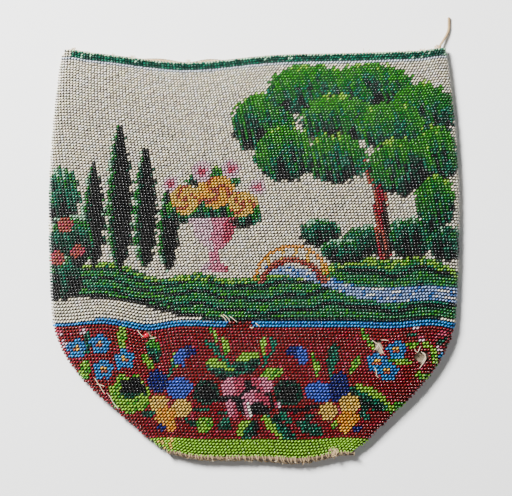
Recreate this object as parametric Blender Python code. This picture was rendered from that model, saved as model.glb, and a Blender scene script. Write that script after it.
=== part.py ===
"""A knitted bead pouch lying on its back: a flattened tube of seed beads with an open mouth,
tapered lower sides, a whip-stitched base and a thin lining.

+X runs across the pouch, +Y toward the mouth and +Z up from the table. Heights along the pouch
are measured from the foot of the base seam, and the finished part is centred on the origin."""

import math

import bmesh
import bpy
from mathutils import Matrix, Vector

# Outline of the flattened tube in metres: heights, the half-width at the belly, and how much
# narrower the mouth and hip are. The hip, where the taper starts, is a little above the flower
# band, and the straight taper would pass it outside the belly.
MOUTH_HEIGHT = 0.1618
BELLY_HEIGHT = 0.0960
HIP_RISE = 0.0010
BELLY_HALF_WIDTH = 0.0809
MOUTH_NARROWING = 0.0054
HIP_NARROWING = 0.0015
TAPER_WIDENING = 0.0116
TAPER_FOOT_HALF_WIDTH = 0.0343
HIP_ROUNDING = 0.0165
BASE_LEAN = 0.0026

# The mouth's edge sags left of the middle and a little at the right. Each sag has a place across
# the pouch, a reach to either side and a depth.
LEFT_SAG_PLACE = -0.0200
LEFT_SAG_REACH = 0.0360
LEFT_SAG_DEPTH = 0.0050
RIGHT_SAG_PLACE = 0.0430
RIGHT_SAG_REACH = 0.0170
RIGHT_SAG_DEPTH = 0.0017

# The back edge shows above the front one in two low arcs
LEFT_ARC_PLACE = -0.0360
LEFT_ARC_REACH = 0.0080
RIGHT_ARC_PLACE = -0.0180
RIGHT_ARC_REACH = 0.0060
ARC_RISE = 0.0014

# Bands of beads, counted upward from the base seam
SEAM_DEPTH = 0.0025
SEAM_END_DEPTH = 0.0014
BASE_BAND_HEIGHT = 0.0066
FLOWER_BAND_HEIGHT = 0.0433
STRIPE_HEIGHT = 0.0036
RIM_HEIGHT = 0.0032
EDGING_HEIGHT = 0.0007

# Layers, and the room that the raised front wall leaves inside
BEAD_LAYER = 0.0014
LINING_THICKNESS = 0.00045
CLEARANCE = 0.0003
POCKET_RISE = 0.0052
SHOULDER_REACH = 0.0300
FOLD_WIDTH = 0.0026
LINING_MARGIN = 0.0030

# A single larger bead, seated in a worn hole of the front flower band. Each hole's place is a
# share of the half-width there and a drop from the band's top.
RED_BEAD_DIAMETER = 0.0024
RED_BEAD_LENGTH = 0.0019
RED_BEAD_BORE = 0.0007
RED_BEAD_SHARE = -0.558
RED_BEAD_DROP = 0.0030
RED_BEAD_TILT = math.radians(35)

# Two more worn holes in the same band, where the lining shows
INNER_HOLE_DIAMETER = 0.0036
INNER_HOLE_SHARE = 0.668
INNER_HOLE_DROP = 0.0068
OUTER_HOLE_DIAMETER = 0.0042
OUTER_HOLE_SHARE = 0.932
OUTER_HOLE_DROP = 0.0117

# The thread end left hanging from the mouth's right corner
THREAD_DIAMETER = 0.0006
THREAD_RISE = 0.0132
THREAD_START_INSET = 0.0015
THREAD_BOW = 0.0026

# Faces along and across the pieces
ACROSS_FACES = 24
PROFILE_FACES = 6
ROUND_FACES = 12
ROW_FACE_LENGTH = 0.0065
THREAD_STEP = 0.0015
GROOVED_ROWS = 6
BEAD_ROW_PITCH = 0.00118
GROOVE_DEPTH = 0.0006
GROOVE_WIDTH = 0.0012
SLOPE_STEP = 0.0001
CUTTER_OVERRUN = 0.0020

# Widths, heights and levels that follow from the sizes above
MOUTH_HALF_WIDTH = BELLY_HALF_WIDTH - MOUTH_NARROWING
PANEL_FOOT = SEAM_DEPTH + CLEARANCE
BASE_BAND_TOP = PANEL_FOOT + BASE_BAND_HEIGHT
FLOWER_BAND_FOOT = BASE_BAND_TOP + CLEARANCE
FLOWER_BAND_TOP = FLOWER_BAND_FOOT + FLOWER_BAND_HEIGHT
HIP_HEIGHT = FLOWER_BAND_TOP + HIP_RISE
STRIPE_FOOT = FLOWER_BAND_TOP + CLEARANCE
STRIPE_TOP = STRIPE_FOOT + STRIPE_HEIGHT
PICTURE_FOOT = STRIPE_TOP + CLEARANCE
LINING_FOOT = PANEL_FOOT + LINING_MARGIN
THREAD_TIP_HEIGHT = MOUTH_HEIGHT + THREAD_RISE
BACK_LINING_LEVEL = BEAD_LAYER + CLEARANCE
FRONT_LINING_LEVEL = BACK_LINING_LEVEL + LINING_THICKNESS + CLEARANCE
FRONT_BEAD_LEVEL = FRONT_LINING_LEVEL + LINING_THICKNESS + CLEARANCE
EDGE_HEIGHT = FRONT_BEAD_LEVEL + BEAD_LAYER
WALL_DEPTH = LINING_THICKNESS + CLEARANCE + BEAD_LAYER

# The front wall turns about the top of its lower edge
HINGE = Vector((0, PANEL_FOOT, EDGE_HEIGHT))
ORIGIN_SHIFT = Vector((0, -THREAD_TIP_HEIGHT / 2, 0))


def side_half_width(height):
    """Half the width of the tube's sides, widest at the belly and straight below the hip."""
    if height > BELLY_HEIGHT:
        rise_share = (height - BELLY_HEIGHT) / (MOUTH_HEIGHT - BELLY_HEIGHT)
        return BELLY_HALF_WIDTH - MOUTH_NARROWING * rise_share**2
    fall_share = (BELLY_HEIGHT - height) / (BELLY_HEIGHT - HIP_HEIGHT)
    if fall_share > 1:
        return BELLY_HALF_WIDTH - HIP_NARROWING * (2 * fall_share - 1)
    return BELLY_HALF_WIDTH - HIP_NARROWING * fall_share**2


def half_width(height):
    """Half the width at a height: the sides, cut by the straight taper and rounded at the hip."""
    side = side_half_width(height)
    spread = BELLY_HALF_WIDTH + TAPER_WIDENING - TAPER_FOOT_HALF_WIDTH
    taper = TAPER_FOOT_HALF_WIDTH + spread * height / HIP_HEIGHT
    near_share = max(HIP_ROUNDING - abs(side - taper), 0) / HIP_ROUNDING
    return min(side, taper) - HIP_ROUNDING * near_share**2 / 4


def slant(height):
    """How much longer the edge runs than it rises: 1 where the edge is upright."""
    run = half_width(height + SLOPE_STEP) - half_width(height)
    return math.hypot(1, run / SLOPE_STEP)


def lean(height):
    """The base sits a little to the right of the mouth."""
    return BASE_LEAN * max(1 - height / HIP_HEIGHT, 0) ** 2


def panel_half_width(height):
    """Half the width between the two side folds, less the gap at each."""
    return half_width(height) - (FOLD_WIDTH + CLEARANCE) * slant(height)


def lining_half_width(height):
    return panel_half_width(height) - LINING_MARGIN * slant(height)


def swell(across, place, reach):
    """A smooth swell, 1 at its place across the pouch and almost nothing at twice its reach."""
    return math.exp(-(((across - place) / reach) ** 2))


def mouth(across_share, arc_rise):
    """Height of the mouth's edge, at a share of its half-width, with arcs of the given rise."""
    across = across_share * MOUTH_HALF_WIDTH
    left_sag = LEFT_SAG_DEPTH * swell(across, LEFT_SAG_PLACE, LEFT_SAG_REACH)
    right_sag = RIGHT_SAG_DEPTH * swell(across, RIGHT_SAG_PLACE, RIGHT_SAG_REACH)
    left_arc = arc_rise * swell(across, LEFT_ARC_PLACE, LEFT_ARC_REACH)
    right_arc = arc_rise * swell(across, RIGHT_ARC_PLACE, RIGHT_ARC_REACH)
    return MOUTH_HEIGHT - left_sag - right_sag + left_arc + right_arc


def level_line(height):
    """A line straight across the pouch."""
    return lambda across_share: height


def below_mouth(arc_rise, drop):
    """A line across the pouch at one distance below the mouth's edge."""
    return lambda across_share: mouth(across_share, arc_rise) - drop


def front_lift(across, height):
    """How far the front wall has risen over its edge level, at a point of the wall."""
    inward = (half_width(height) - abs(across - lean(height))) / slant(height)
    side_share = min(max(inward / SHOULDER_REACH, 0), 1)
    base_share = min(max((height - PANEL_FOOT) / SHOULDER_REACH, 0), 1)
    return POCKET_RISE * (1 - (1 - side_share) ** 2) * (1 - (1 - base_share) ** 2)


def no_lift(across, height):
    """The back wall lies flat."""
    return 0


def material(name, colour, roughness):
    """A plain surface of one colour."""
    made = bpy.data.materials.new(name)
    made.use_nodes = True
    made.diffuse_color = (*colour, 1)
    shader = made.node_tree.nodes["Principled BSDF"]
    shader.inputs["Base Color"].default_value = (*colour, 1)
    shader.inputs["Roughness"].default_value = roughness
    shader.inputs["Metallic"].default_value = 0
    return made


def wall_frame(name, pivot):
    """An empty on the wall's own axis, which carries the wall's pieces."""
    empty = bpy.data.objects.new(name, None)
    empty.location = pivot + ORIGIN_SHIFT
    bpy.context.scene.collection.objects.link(empty)
    return {"empty": empty, "pivot": pivot}


def placed(bm, name, surface, wall):
    """The finished mesh as an object of its wall."""
    bmesh.ops.recalc_face_normals(bm, faces=bm.faces)
    mesh = bpy.data.meshes.new(name)
    bm.to_mesh(mesh)
    bm.free()
    mesh.transform(Matrix.Translation(-wall["pivot"]))
    mesh.materials.append(surface)
    piece = bpy.data.objects.new(name, mesh)
    bpy.context.scene.collection.objects.link(piece)
    piece.parent = wall["empty"]
    return piece


def layer(name, span, foot, top, level, lift, thickness, surface, wall, grooves=0):
    """A layer of a wall between two lines across the pouch, as wide as the wall is there. Grooves
    in its upper face part its bead rows in groups."""
    rise = top(0) - foot(0)
    along_faces = 3 * grooves or max(round(rise / ROW_FACE_LENGTH), 1)
    groove_edge = GROOVE_WIDTH / 2 / rise
    bm = bmesh.new()
    deep = bm.verts.layers.int.new("deep")
    bmesh.ops.create_grid(bm, x_segments=ACROSS_FACES, y_segments=along_faces, size=1)
    for corner in bm.verts:
        across_share = corner.co.x
        rise_share = (corner.co.y + 1) / 2
        if grooves:
            line = round(rise_share * along_faces)
            rise_share = round(line / 3) / grooves + (0, groove_edge, -groove_edge)[line % 3]
            corner[deep] = line % 3 == 0 and 0 < line < along_faces
        height = foot(across_share) + rise_share * (top(across_share) - foot(across_share))
        across = lean(height) + across_share * span(height)
        corner.co = (across, height, level + lift(across, height))
    raised = bmesh.ops.extrude_face_region(bm, geom=bm.faces[:])
    corners = [item for item in raised["geom"] if isinstance(item, bmesh.types.BMVert)]
    bmesh.ops.translate(bm, verts=corners, vec=(0, 0, thickness))
    bottoms = [corner for corner in corners if corner[deep]]
    bmesh.ops.translate(bm, verts=bottoms, vec=(0, 0, -GROOVE_DEPTH))
    return placed(bm, name, surface, wall)


def row_grooves(band, foot, top):
    """How many grooves part a front band's rows: one for every few rows of the two broad bands."""
    if band not in ("picture_field", "flower_band"):
        return 0
    return round((top(0) - foot(0)) / (GROOVED_ROWS * BEAD_ROW_PITCH))


def half_round(width, height):
    """A half-round profile, as pairs of outward distance and level, from foot to top."""
    turns = [math.pi * (step / PROFILE_FACES - 1 / 2) for step in range(PROFILE_FACES + 1)]
    return [(width * math.cos(turn), height * (1 + math.sin(turn)) / 2) for turn in turns]


def full_round(width, height):
    """An oval profile, as pairs of distances from its centre."""
    turns = [math.tau * step / ROUND_FACES for step in range(ROUND_FACES)]
    return [(width * math.cos(turn) / 2, height * math.sin(turn) / 2) for turn in turns]


def swept(name, sections, surface, wall):
    """A solid bridged through a row of like rings and closed at both ends."""
    bm = bmesh.new()
    loops = []
    for section in sections:
        ring = [bm.verts.new(point) for point in section]
        loops.append([bm.edges.new(pair) for pair in zip(ring, ring[1:] + ring[:1])])
    for near, far in zip(loops, loops[1:]):
        bmesh.ops.bridge_loops(bm, edges=near + far)
    for end in (loops[0], loops[-1]):
        bmesh.ops.edgeloop_fill(bm, edges=end)
    return placed(bm, name, surface, wall)


def bands(wall_name, arc_rise, level, lift, surfaces, wall):
    """The bead bands of one wall, from the base to the rim."""
    rim_top = below_mouth(arc_rise, EDGING_HEIGHT + CLEARANCE)
    rim_foot = below_mouth(arc_rise, EDGING_HEIGHT + CLEARANCE + RIM_HEIGHT)
    picture_top = below_mouth(arc_rise, EDGING_HEIGHT + CLEARANCE + RIM_HEIGHT + CLEARANCE)
    lines = {
        "base_band": (level_line(PANEL_FOOT), level_line(BASE_BAND_TOP)),
        "flower_band": (level_line(FLOWER_BAND_FOOT), level_line(FLOWER_BAND_TOP)),
        "blue_stripe": (level_line(STRIPE_FOOT), level_line(STRIPE_TOP)),
        "picture_field": (level_line(PICTURE_FOOT), picture_top),
        "rim_band": (rim_foot, rim_top),
    }
    made = {}
    for band, (foot, top) in lines.items():
        name = f"{wall_name}_{band}"
        surface = surfaces[band]
        grooves = row_grooves(band, foot, top) if wall_name == "front" else 0
        made[band] = layer(name, panel_half_width, foot, top, level, lift, BEAD_LAYER, surface, wall, grooves)
    return made


def lining(wall_name, arc_rise, level, lift, surface, wall):
    """The cloth inside one wall, a little smaller than the bead wall that it backs."""
    foot = level_line(LINING_FOOT)
    top = below_mouth(arc_rise, EDGING_HEIGHT + CLEARANCE)
    name = f"{wall_name}_lining"
    return layer(name, lining_half_width, foot, top, level, lift, LINING_THICKNESS, surface, wall)


def mouth_edging(wall_name, arc_rise, level, lift, surface, wall):
    """Thread sewn over the top edges of one wall's beads and lining."""
    sections = []
    for step in range(ACROSS_FACES + 1):
        share = 2 * step / ACROSS_FACES - 1
        height = mouth(share, arc_rise) - EDGING_HEIGHT / 2
        across = share * panel_half_width(height)
        middle = level + WALL_DEPTH / 2 + lift(across, height)
        oval = full_round(EDGING_HEIGHT, WALL_DEPTH)
        sections.append([(across, height + along, middle + up) for along, up in oval])
    return swept(f"{wall_name}_mouth_edging", sections, surface, wall)


def edge_fold(name, side, foot, top, surface, wall):
    """The turn of the knitted tube along one side, between two heights."""
    steps = max(round((top - foot) / ROW_FACE_LENGTH), 1)
    sections = []
    for step in range(steps + 1):
        height = foot + (top - foot) * step / steps
        inner = half_width(height) - FOLD_WIDTH * slant(height)
        profile = half_round(FOLD_WIDTH * slant(height), EDGE_HEIGHT)
        sections.append([(lean(height) + side * (inner + out), height, up) for out, up in profile])
    return swept(name, sections, surface, wall)


def base_seam(surface, wall):
    """Whip stitches that close the foot of the tube, shallower at both ends."""
    reach = half_width(PANEL_FOOT)
    sections = []
    for step in range(ACROSS_FACES + 1):
        share = 2 * step / ACROSS_FACES - 1
        depth = SEAM_END_DEPTH + (SEAM_DEPTH - SEAM_END_DEPTH) * (1 - share**6)
        profile = half_round(depth, EDGE_HEIGHT)
        sections.append([(lean(0) + share * reach, SEAM_DEPTH - out, up) for out, up in profile])
    return swept("base_seam", sections, surface, wall)


def loose_thread(surface, wall):
    """A short end of knitting thread that leaves the mouth's right corner and droops to the table."""
    foot = MOUTH_HEIGHT + CLEARANCE
    radius = THREAD_DIAMETER / 2
    steps = round((THREAD_TIP_HEIGHT - foot) / THREAD_STEP)
    curve = bpy.data.curves.new("loose_thread", "CURVE")
    curve.dimensions = "3D"
    curve.bevel_depth = radius
    curve.bevel_resolution = 2
    curve.use_fill_caps = True
    spline = curve.splines.new("POLY")
    spline.points.add(steps)
    for step, point in enumerate(spline.points):
        share = step / steps
        bow = THREAD_BOW * math.sin(math.pi / 2 * share) ** 2
        across = MOUTH_HALF_WIDTH - THREAD_START_INSET + bow
        height = foot + (THREAD_TIP_HEIGHT - foot) * share
        level = radius + (EDGE_HEIGHT / 2 - radius) * (1 - share) ** 3
        point.co = (*(Vector((across, height, level)) - wall["pivot"]), 1)
    curve.materials.append(surface)
    piece = bpy.data.objects.new("loose_thread", curve)
    bpy.context.scene.collection.objects.link(piece)
    piece.parent = wall["empty"]
    return piece


def worn_place(share, drop):
    """A place on the flower band, by its share of the half-width and its drop from the top."""
    height = FLOWER_BAND_TOP - drop
    return share * panel_half_width(height), height


def red_bead(surface, wall):
    """One larger glass bead on the worn lining, its bore leaning in the plane of the wall."""
    radius = RED_BEAD_DIAMETER / 2
    bore = RED_BEAD_BORE / 2
    bm = bmesh.new()
    profile = half_round(radius - bore, RED_BEAD_LENGTH)
    ring = [bm.verts.new((bore + out, 0, up - RED_BEAD_LENGTH / 2)) for out, up in profile]
    edges = [bm.edges.new(pair) for pair in zip(ring, ring[1:] + ring[:1])]
    bmesh.ops.spin(
        bm, geom=edges, cent=(0, 0, 0), axis=(0, 0, 1), angle=math.tau, steps=ROUND_FACES, use_merge=True
    )
    across, height = worn_place(RED_BEAD_SHARE, RED_BEAD_DROP)
    lining_top = FRONT_LINING_LEVEL + LINING_THICKNESS + front_lift(across, height)
    seat = Vector((across, height, lining_top + CLEARANCE + radius))
    turn = Matrix.Rotation(RED_BEAD_TILT, 4, "Z") @ Matrix.Rotation(math.pi / 2, 4, "X")
    bmesh.ops.transform(bm, matrix=Matrix.Translation(seat) @ turn, verts=bm.verts)
    piece = placed(bm, "red_bead", surface, wall)
    piece.data.shade_smooth()
    return piece


def worn_hole(band, name, share, drop, diameter, surface, wall):
    """A round hole worn through a bead layer."""
    across, height = worn_place(share, drop)
    depth = BEAD_LAYER + 2 * CUTTER_OVERRUN
    level = FRONT_BEAD_LEVEL + BEAD_LAYER / 2 + front_lift(across, height)
    bm = bmesh.new()
    bmesh.ops.create_cone(
        bm,
        cap_ends=True,
        segments=ROUND_FACES,
        radius1=diameter / 2,
        radius2=diameter / 2,
        depth=depth,
        matrix=Matrix.Translation((across, height, level)),
    )
    cutter = placed(bm, name, surface, wall)
    cutter.hide_render = True
    cutter.display_type = "WIRE"
    cut = band.modifiers.new(name, "BOOLEAN")
    cut.operation = "DIFFERENCE"
    cut.object = cutter


def build():
    for old in list(bpy.data.objects):
        bpy.data.objects.remove(old, do_unlink=True)

    ivory = material("ivory_glass_beads", (0.60, 0.56, 0.49), 0.30)
    teal = material("teal_glass_beads", (0.01, 0.13, 0.08), 0.25)
    blue = material("blue_glass_beads", (0.03, 0.24, 0.55), 0.25)
    maroon = material("maroon_glass_beads", (0.20, 0.02, 0.03), 0.25)
    lime = material("lime_glass_beads", (0.22, 0.42, 0.08), 0.30)
    red = material("red_glass", (0.62, 0.02, 0.06), 0.10)
    thread = material("tan_thread", (0.52, 0.40, 0.26), 0.80)
    cloth = material("tan_lining", (0.50, 0.39, 0.26), 0.90)
    surfaces = {
        "base_band": lime,
        "flower_band": maroon,
        "blue_stripe": blue,
        "picture_field": ivory,
        "rim_band": teal,
    }

    back = wall_frame("back_wall", Vector((0, 0, 0)))
    bands("back", ARC_RISE, 0, no_lift, surfaces, back)
    lining("back", ARC_RISE, BACK_LINING_LEVEL, no_lift, cloth, back)
    mouth_edging("back", ARC_RISE, 0, no_lift, thread, back)
    for name, side in (("left", -1), ("right", 1)):
        edge_fold(f"{name}_taper_fold", side, PANEL_FOOT, HIP_HEIGHT, maroon, back)
        edge_fold(f"{name}_side_fold", side, HIP_HEIGHT + CLEARANCE, MOUTH_HEIGHT, ivory, back)
    base_seam(thread, back)
    loose_thread(thread, back)

    front = wall_frame("front_wall", HINGE)
    fronts = bands("front", 0, FRONT_BEAD_LEVEL, front_lift, surfaces, front)
    lining("front", 0, FRONT_LINING_LEVEL, front_lift, cloth, front)
    mouth_edging("front", 0, FRONT_LINING_LEVEL, front_lift, thread, front)
    red_bead(red, front)
    seat = RED_BEAD_DIAMETER + 2 * CLEARANCE
    worn = fronts["flower_band"]
    worn_hole(worn, "red_bead_seat", RED_BEAD_SHARE, RED_BEAD_DROP, seat, maroon, front)
    worn_hole(worn, "inner_worn_hole", INNER_HOLE_SHARE, INNER_HOLE_DROP, INNER_HOLE_DIAMETER, maroon, front)
    worn_hole(worn, "outer_worn_hole", OUTER_HOLE_SHARE, OUTER_HOLE_DROP, OUTER_HOLE_DIAMETER, maroon, front)


build()
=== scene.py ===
"""A bead-knitted pouch lying on its back, photographed from straight above.

Some thirty thousand glass seed beads are knitted in the round, row over row, into a tube that
tapers to a narrow base. The tube is lined with tan cloth and whip-stitched shut at its foot."""

import math

import bmesh
import bpy
import numpy as np
from mathutils import Matrix, Vector


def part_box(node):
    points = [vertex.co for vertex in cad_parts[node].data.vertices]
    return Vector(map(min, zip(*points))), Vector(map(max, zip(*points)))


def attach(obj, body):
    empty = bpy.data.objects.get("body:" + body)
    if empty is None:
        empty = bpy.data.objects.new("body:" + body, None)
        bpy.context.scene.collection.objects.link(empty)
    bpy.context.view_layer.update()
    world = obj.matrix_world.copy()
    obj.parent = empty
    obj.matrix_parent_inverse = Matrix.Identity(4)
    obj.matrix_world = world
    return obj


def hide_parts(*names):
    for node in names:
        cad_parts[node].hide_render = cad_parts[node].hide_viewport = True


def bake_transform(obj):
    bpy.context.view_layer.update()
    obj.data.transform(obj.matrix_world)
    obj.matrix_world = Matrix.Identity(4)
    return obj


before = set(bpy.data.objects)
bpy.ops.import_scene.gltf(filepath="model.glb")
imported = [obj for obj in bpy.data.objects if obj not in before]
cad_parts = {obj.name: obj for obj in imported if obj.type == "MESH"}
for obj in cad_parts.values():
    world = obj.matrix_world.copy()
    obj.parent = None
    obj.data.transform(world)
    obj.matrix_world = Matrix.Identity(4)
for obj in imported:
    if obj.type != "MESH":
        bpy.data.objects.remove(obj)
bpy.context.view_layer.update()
MM = 0.001

# The studio: a copy stand. The camera looks straight down from far off, so that the pouch shows
# no perspective. A pale matt board lies under it, with a large soft lamp at the upper left and
# a weaker one at the right.
CAMERA_HEIGHT = 1.20
PICTURE_WIDTH = 0.1998
PICTURE_CENTRE = (0.0008, -0.0033)
SENSOR_WIDTH = 36.0
FRONT_TOP = 0.009

eye = bpy.data.cameras.new("camera")
eye.sensor_width = SENSOR_WIDTH
eye.lens = SENSOR_WIDTH * (CAMERA_HEIGHT - FRONT_TOP) / PICTURE_WIDTH
camera = bpy.data.objects.new("camera", eye)
camera.location = (*PICTURE_CENTRE, CAMERA_HEIGHT)
bpy.context.scene.collection.objects.link(camera)
bpy.context.scene.camera = camera


def soft_lamp(name, place, size, power):
    """A square soft box aimed at the pouch."""
    light = bpy.data.lights.new(name, "AREA")
    light.shape = "SQUARE"
    light.size = size
    light.energy = power
    lamp = bpy.data.objects.new(name, light)
    lamp.location = place
    lamp.rotation_euler = (-Vector(place)).to_track_quat("-Z", "Y").to_euler()
    bpy.context.scene.collection.objects.link(lamp)


soft_lamp("key_lamp", (-0.50, 0.58, 0.70), 0.32, 60.0)
soft_lamp("fill_lamp", (0.70, -0.20, 0.60), 0.60, 2.0)

world = bpy.data.worlds.new("studio_air")
world.use_nodes = True
air = world.node_tree.nodes["Background"]
air.inputs["Color"].default_value = (0.93, 0.95, 1.0, 1)
air.inputs["Strength"].default_value = 0.085
bpy.context.scene.world = world

bm = bmesh.new()
bmesh.ops.create_grid(bm, x_segments=1, y_segments=1, size=1.5)
board_mesh = bpy.data.meshes.new("board")
bm.to_mesh(board_mesh)
bm.free()
board = bpy.data.objects.new("board", board_mesh)
board_paper = bpy.data.materials.new("board_paper")
board_paper.use_nodes = True
paper = board_paper.node_tree.nodes["Principled BSDF"]
paper.inputs["Base Color"].default_value = (0.80, 0.80, 0.79, 1)
paper.inputs["Roughness"].default_value = 0.9
board_mesh.materials.append(board_paper)
bpy.context.scene.collection.objects.link(board)

# The knitted tube. It is knitted in the round from the mouth down, so flattened it has a front,
# a back and two turned sides. It narrows to the mouth, is widest at the belly and is cut by a
# straight taper below the hip. Heights run from the foot of the base seam toward the mouth.
MOUTH_HEIGHT = 0.1618
BELLY_HEIGHT = 0.0960
HIP_HEIGHT = 0.0540
BELLY_HALF_WIDTH = 0.0809
MOUTH_NARROWING = 0.0054
HIP_NARROWING = 0.0015
TAPER_WIDENING = 0.0116
TAPER_FOOT_HALF_WIDTH = 0.0343
HIP_ROUNDING = 0.0165
TAPER_SPREAD = BELLY_HALF_WIDTH + TAPER_WIDENING - TAPER_FOOT_HALF_WIDTH
BASE_LEAN = 0.0026
MOUTH_SAGS = ((4.9, -27, 30), (1.35, 30, 32), (-0.9, -72.5, 6), (-1.3, 74.5, 7))
BACK_ARCS = ((1, -36, 8), (1, -18, 6))
ARC_RISE = 0.0014
DIP_FADE = 1.4
HIP_SHIFTS = ((1.3, -60, 10), (-1.4, -41, 8), (0.5, -27, 10), (0.7, 69, 8), (-1.0, 80, 6), (-0.5, 52, 9))
BASE_SHIFTS = ((1.6, 35, 7), (-1.1, 17, 9), (-0.5, -12, 18), (1.9, -33, 7))
HIP_SHIFT_PLACE, HIP_SHIFT_REACH = 0.056, 0.017
BASE_SHIFT_REACH = 0.009
SLOW_RIPPLE, QUICK_RIPPLE = 0.00034, 0.00014
FOLD_WIDTH = 0.0026
CLEARANCE = 0.0003
BEAD_LAYER = 0.0014
LINING_THICKNESS = 0.00045
PANEL_FOOT = 0.0028
PICTURE_FOOT = 0.0571
PICTURE_TOP = 0.1586
BACK_LINING_LEVEL = BEAD_LAYER + CLEARANCE
FRONT_LINING_LEVEL = BACK_LINING_LEVEL + LINING_THICKNESS + CLEARANCE
FRONT_BEAD_LEVEL = FRONT_LINING_LEVEL + LINING_THICKNESS + CLEARANCE
EDGE_HEIGHT = FRONT_BEAD_LEVEL + BEAD_LAYER
POCKET_RISE = 0.0052
SHOULDER_REACH = 0.0300
TIP_HEIGHT = 0.1750
SLOPE_STEP = 0.0001
TURN_REACH = 0.0030
LOOP_STEPS = 90
TURN_PROBE = 0.0006


def half_width(height):
    """Half the tube's width at a height: its sides, cut by the taper and rounded at the hip."""
    rise = np.maximum(height - BELLY_HEIGHT, 0) / (MOUTH_HEIGHT - BELLY_HEIGHT)
    fall = np.maximum(BELLY_HEIGHT - height, 0) / (BELLY_HEIGHT - HIP_HEIGHT)
    fall_loss = np.where(fall > 1, 2 * fall - 1, fall**2)
    side = BELLY_HALF_WIDTH - MOUTH_NARROWING * rise**2 - HIP_NARROWING * fall_loss
    taper = TAPER_FOOT_HALF_WIDTH + TAPER_SPREAD * height / HIP_HEIGHT
    near = np.maximum(HIP_ROUNDING - np.abs(side - taper), 0) / HIP_ROUNDING
    return np.minimum(side, taper) - HIP_ROUNDING * near**2 / 4


def slant(height):
    """How much longer the edge runs than it rises."""
    return np.hypot(1, (half_width(height + SLOPE_STEP) - half_width(height)) / SLOPE_STEP)


def lean(height):
    """The base sits a little to the right of the mouth."""
    return BASE_LEAN * np.maximum(1 - height / HIP_HEIGHT, 0) ** 2


def inward(across, height):
    """How far inside the outline a place lies."""
    return (half_width(height) - np.abs(across - lean(height))) / slant(height)


def humps(across, shapes):
    """Soft humps across the pouch, each with a size, a middle and a reach in millimetres."""
    return sum(size * np.exp(-(((across / MM - middle) / reach) ** 2)) for size, middle, reach in shapes)


def mouth_drop(across, front):
    """How far the mouth's edge has sagged: left of the middle, a little at the right, and not at
    the corners. The back edge shows above the front one in two low arcs."""
    return MM * humps(across, MOUTH_SAGS) - np.where(front, 0, ARC_RISE * humps(across, BACK_ARCS))


def ripple(across, height):
    """The front wall isn't quite smooth over the lining: it has waves of 3 to 8 centimetres."""
    slow = np.sin(across * 92 + 1.3 + height * 41) * np.sin(height * 77 + 0.4)
    quick = np.sin(across * 190 - height * 118) * np.cos(height * 161 + across * 57)
    return SLOW_RIPPLE * slow + QUICK_RIPPLE * quick


def front_lift(across, height):
    """How far the front wall has risen over its edge, as a bag with a little air in it."""
    side_share = np.clip(inward(across, height) / SHOULDER_REACH, 0, 1)
    base_share = np.clip((height - PANEL_FOOT) / SHOULDER_REACH, 0, 1)
    swell = (1 - (1 - side_share) ** 2) * (1 - (1 - base_share) ** 2)
    return POCKET_RISE * swell + ripple(across, height) * swell


def wander(across, height, front=True):
    """The rows have shifted with use: up and down by a millimetre around the blue stripe of the
    front, and up and down along the base, where the seam pulls at them."""
    hip = np.exp(-(((height - HIP_SHIFT_PLACE) / HIP_SHIFT_REACH) ** 2))
    base = np.exp(-((height / BASE_SHIFT_REACH) ** 2))
    return MM * (np.where(front, hip * humps(across, HIP_SHIFTS), 0) + base * humps(across, BASE_SHIFTS))


def loop_at(height):
    """One row's path round the tube at a height, from the front's middle to the right, round the
    back and home. Gives the length run, the place across, the level and which wall it is on."""
    shares = np.linspace(1, 0, LOOP_STEPS) ** 2
    edge = BEAD_LAYER / 2
    deepest = half_width(height) / slant(height)
    depth = edge + (deepest - edge) * shares
    reach = half_width(height) - depth * slant(height)
    turn = np.clip((depth - edge) / TURN_REACH, 0, 1)
    bulge = np.sqrt(1 - (1 - turn) ** 2)
    middle = EDGE_HEIGHT / 2
    lows = middle - (middle - BEAD_LAYER / 2) * bulge

    def front_level(side):
        """The levels along one half of the front wall, from its middle to its side."""
        top = FRONT_BEAD_LEVEL + BEAD_LAYER / 2 + front_lift(lean(height) + side * reach, height)
        return middle + (top - middle) * bulge

    across = np.concatenate([reach, reach[::-1][1:], -reach[1:], -reach[::-1][1:]])
    level = np.concatenate([front_level(1), lows[::-1][1:], lows[1:], front_level(-1)[::-1][1:]])
    quarter = LOOP_STEPS - 1
    is_front = np.concatenate([np.ones(quarter + 1), np.zeros(2 * quarter), np.ones(quarter)])
    run = np.concatenate([[0], np.cumsum(np.hypot(np.diff(across), np.diff(level)))])
    return run, across + lean(height), level, is_front


def on_tube(share, height):
    """The point of the bead fabric at a share of a row's way round the tube."""
    run, across, level, is_front = loop_at(height)
    at = share * run[-1]
    x = np.interp(at, run, across)
    z = np.interp(at, run, level)
    front = np.interp(at, run, is_front) > 0.5
    rise = np.clip((height - PICTURE_FOOT) / (PICTURE_TOP - PICTURE_FOOT), 0, 1) ** DIP_FADE
    dip = mouth_drop(x, front) * rise
    y = height - dip + wander(x, height, front) - TIP_HEIGHT / 2
    return np.stack([x, y, z], axis=-1), front


def fabric_at(share, height):
    """Points of the fabric with the ways along the row, up the columns and outward."""
    at, front = on_tube(share, height)
    ahead, behind = (on_tube((share + step) % 1, height)[0] for step in (TURN_PROBE, -TURN_PROBE))
    along = ahead - behind
    along /= np.linalg.norm(along, axis=-1, keepdims=True)
    up = on_tube(share, height + SLOPE_STEP)[0] - on_tube(share, height - SLOPE_STEP)[0]
    outward = np.cross(along, up)
    outward /= np.linalg.norm(outward, axis=-1, keepdims=True)
    return at, along, np.cross(outward, along), outward, front


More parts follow.
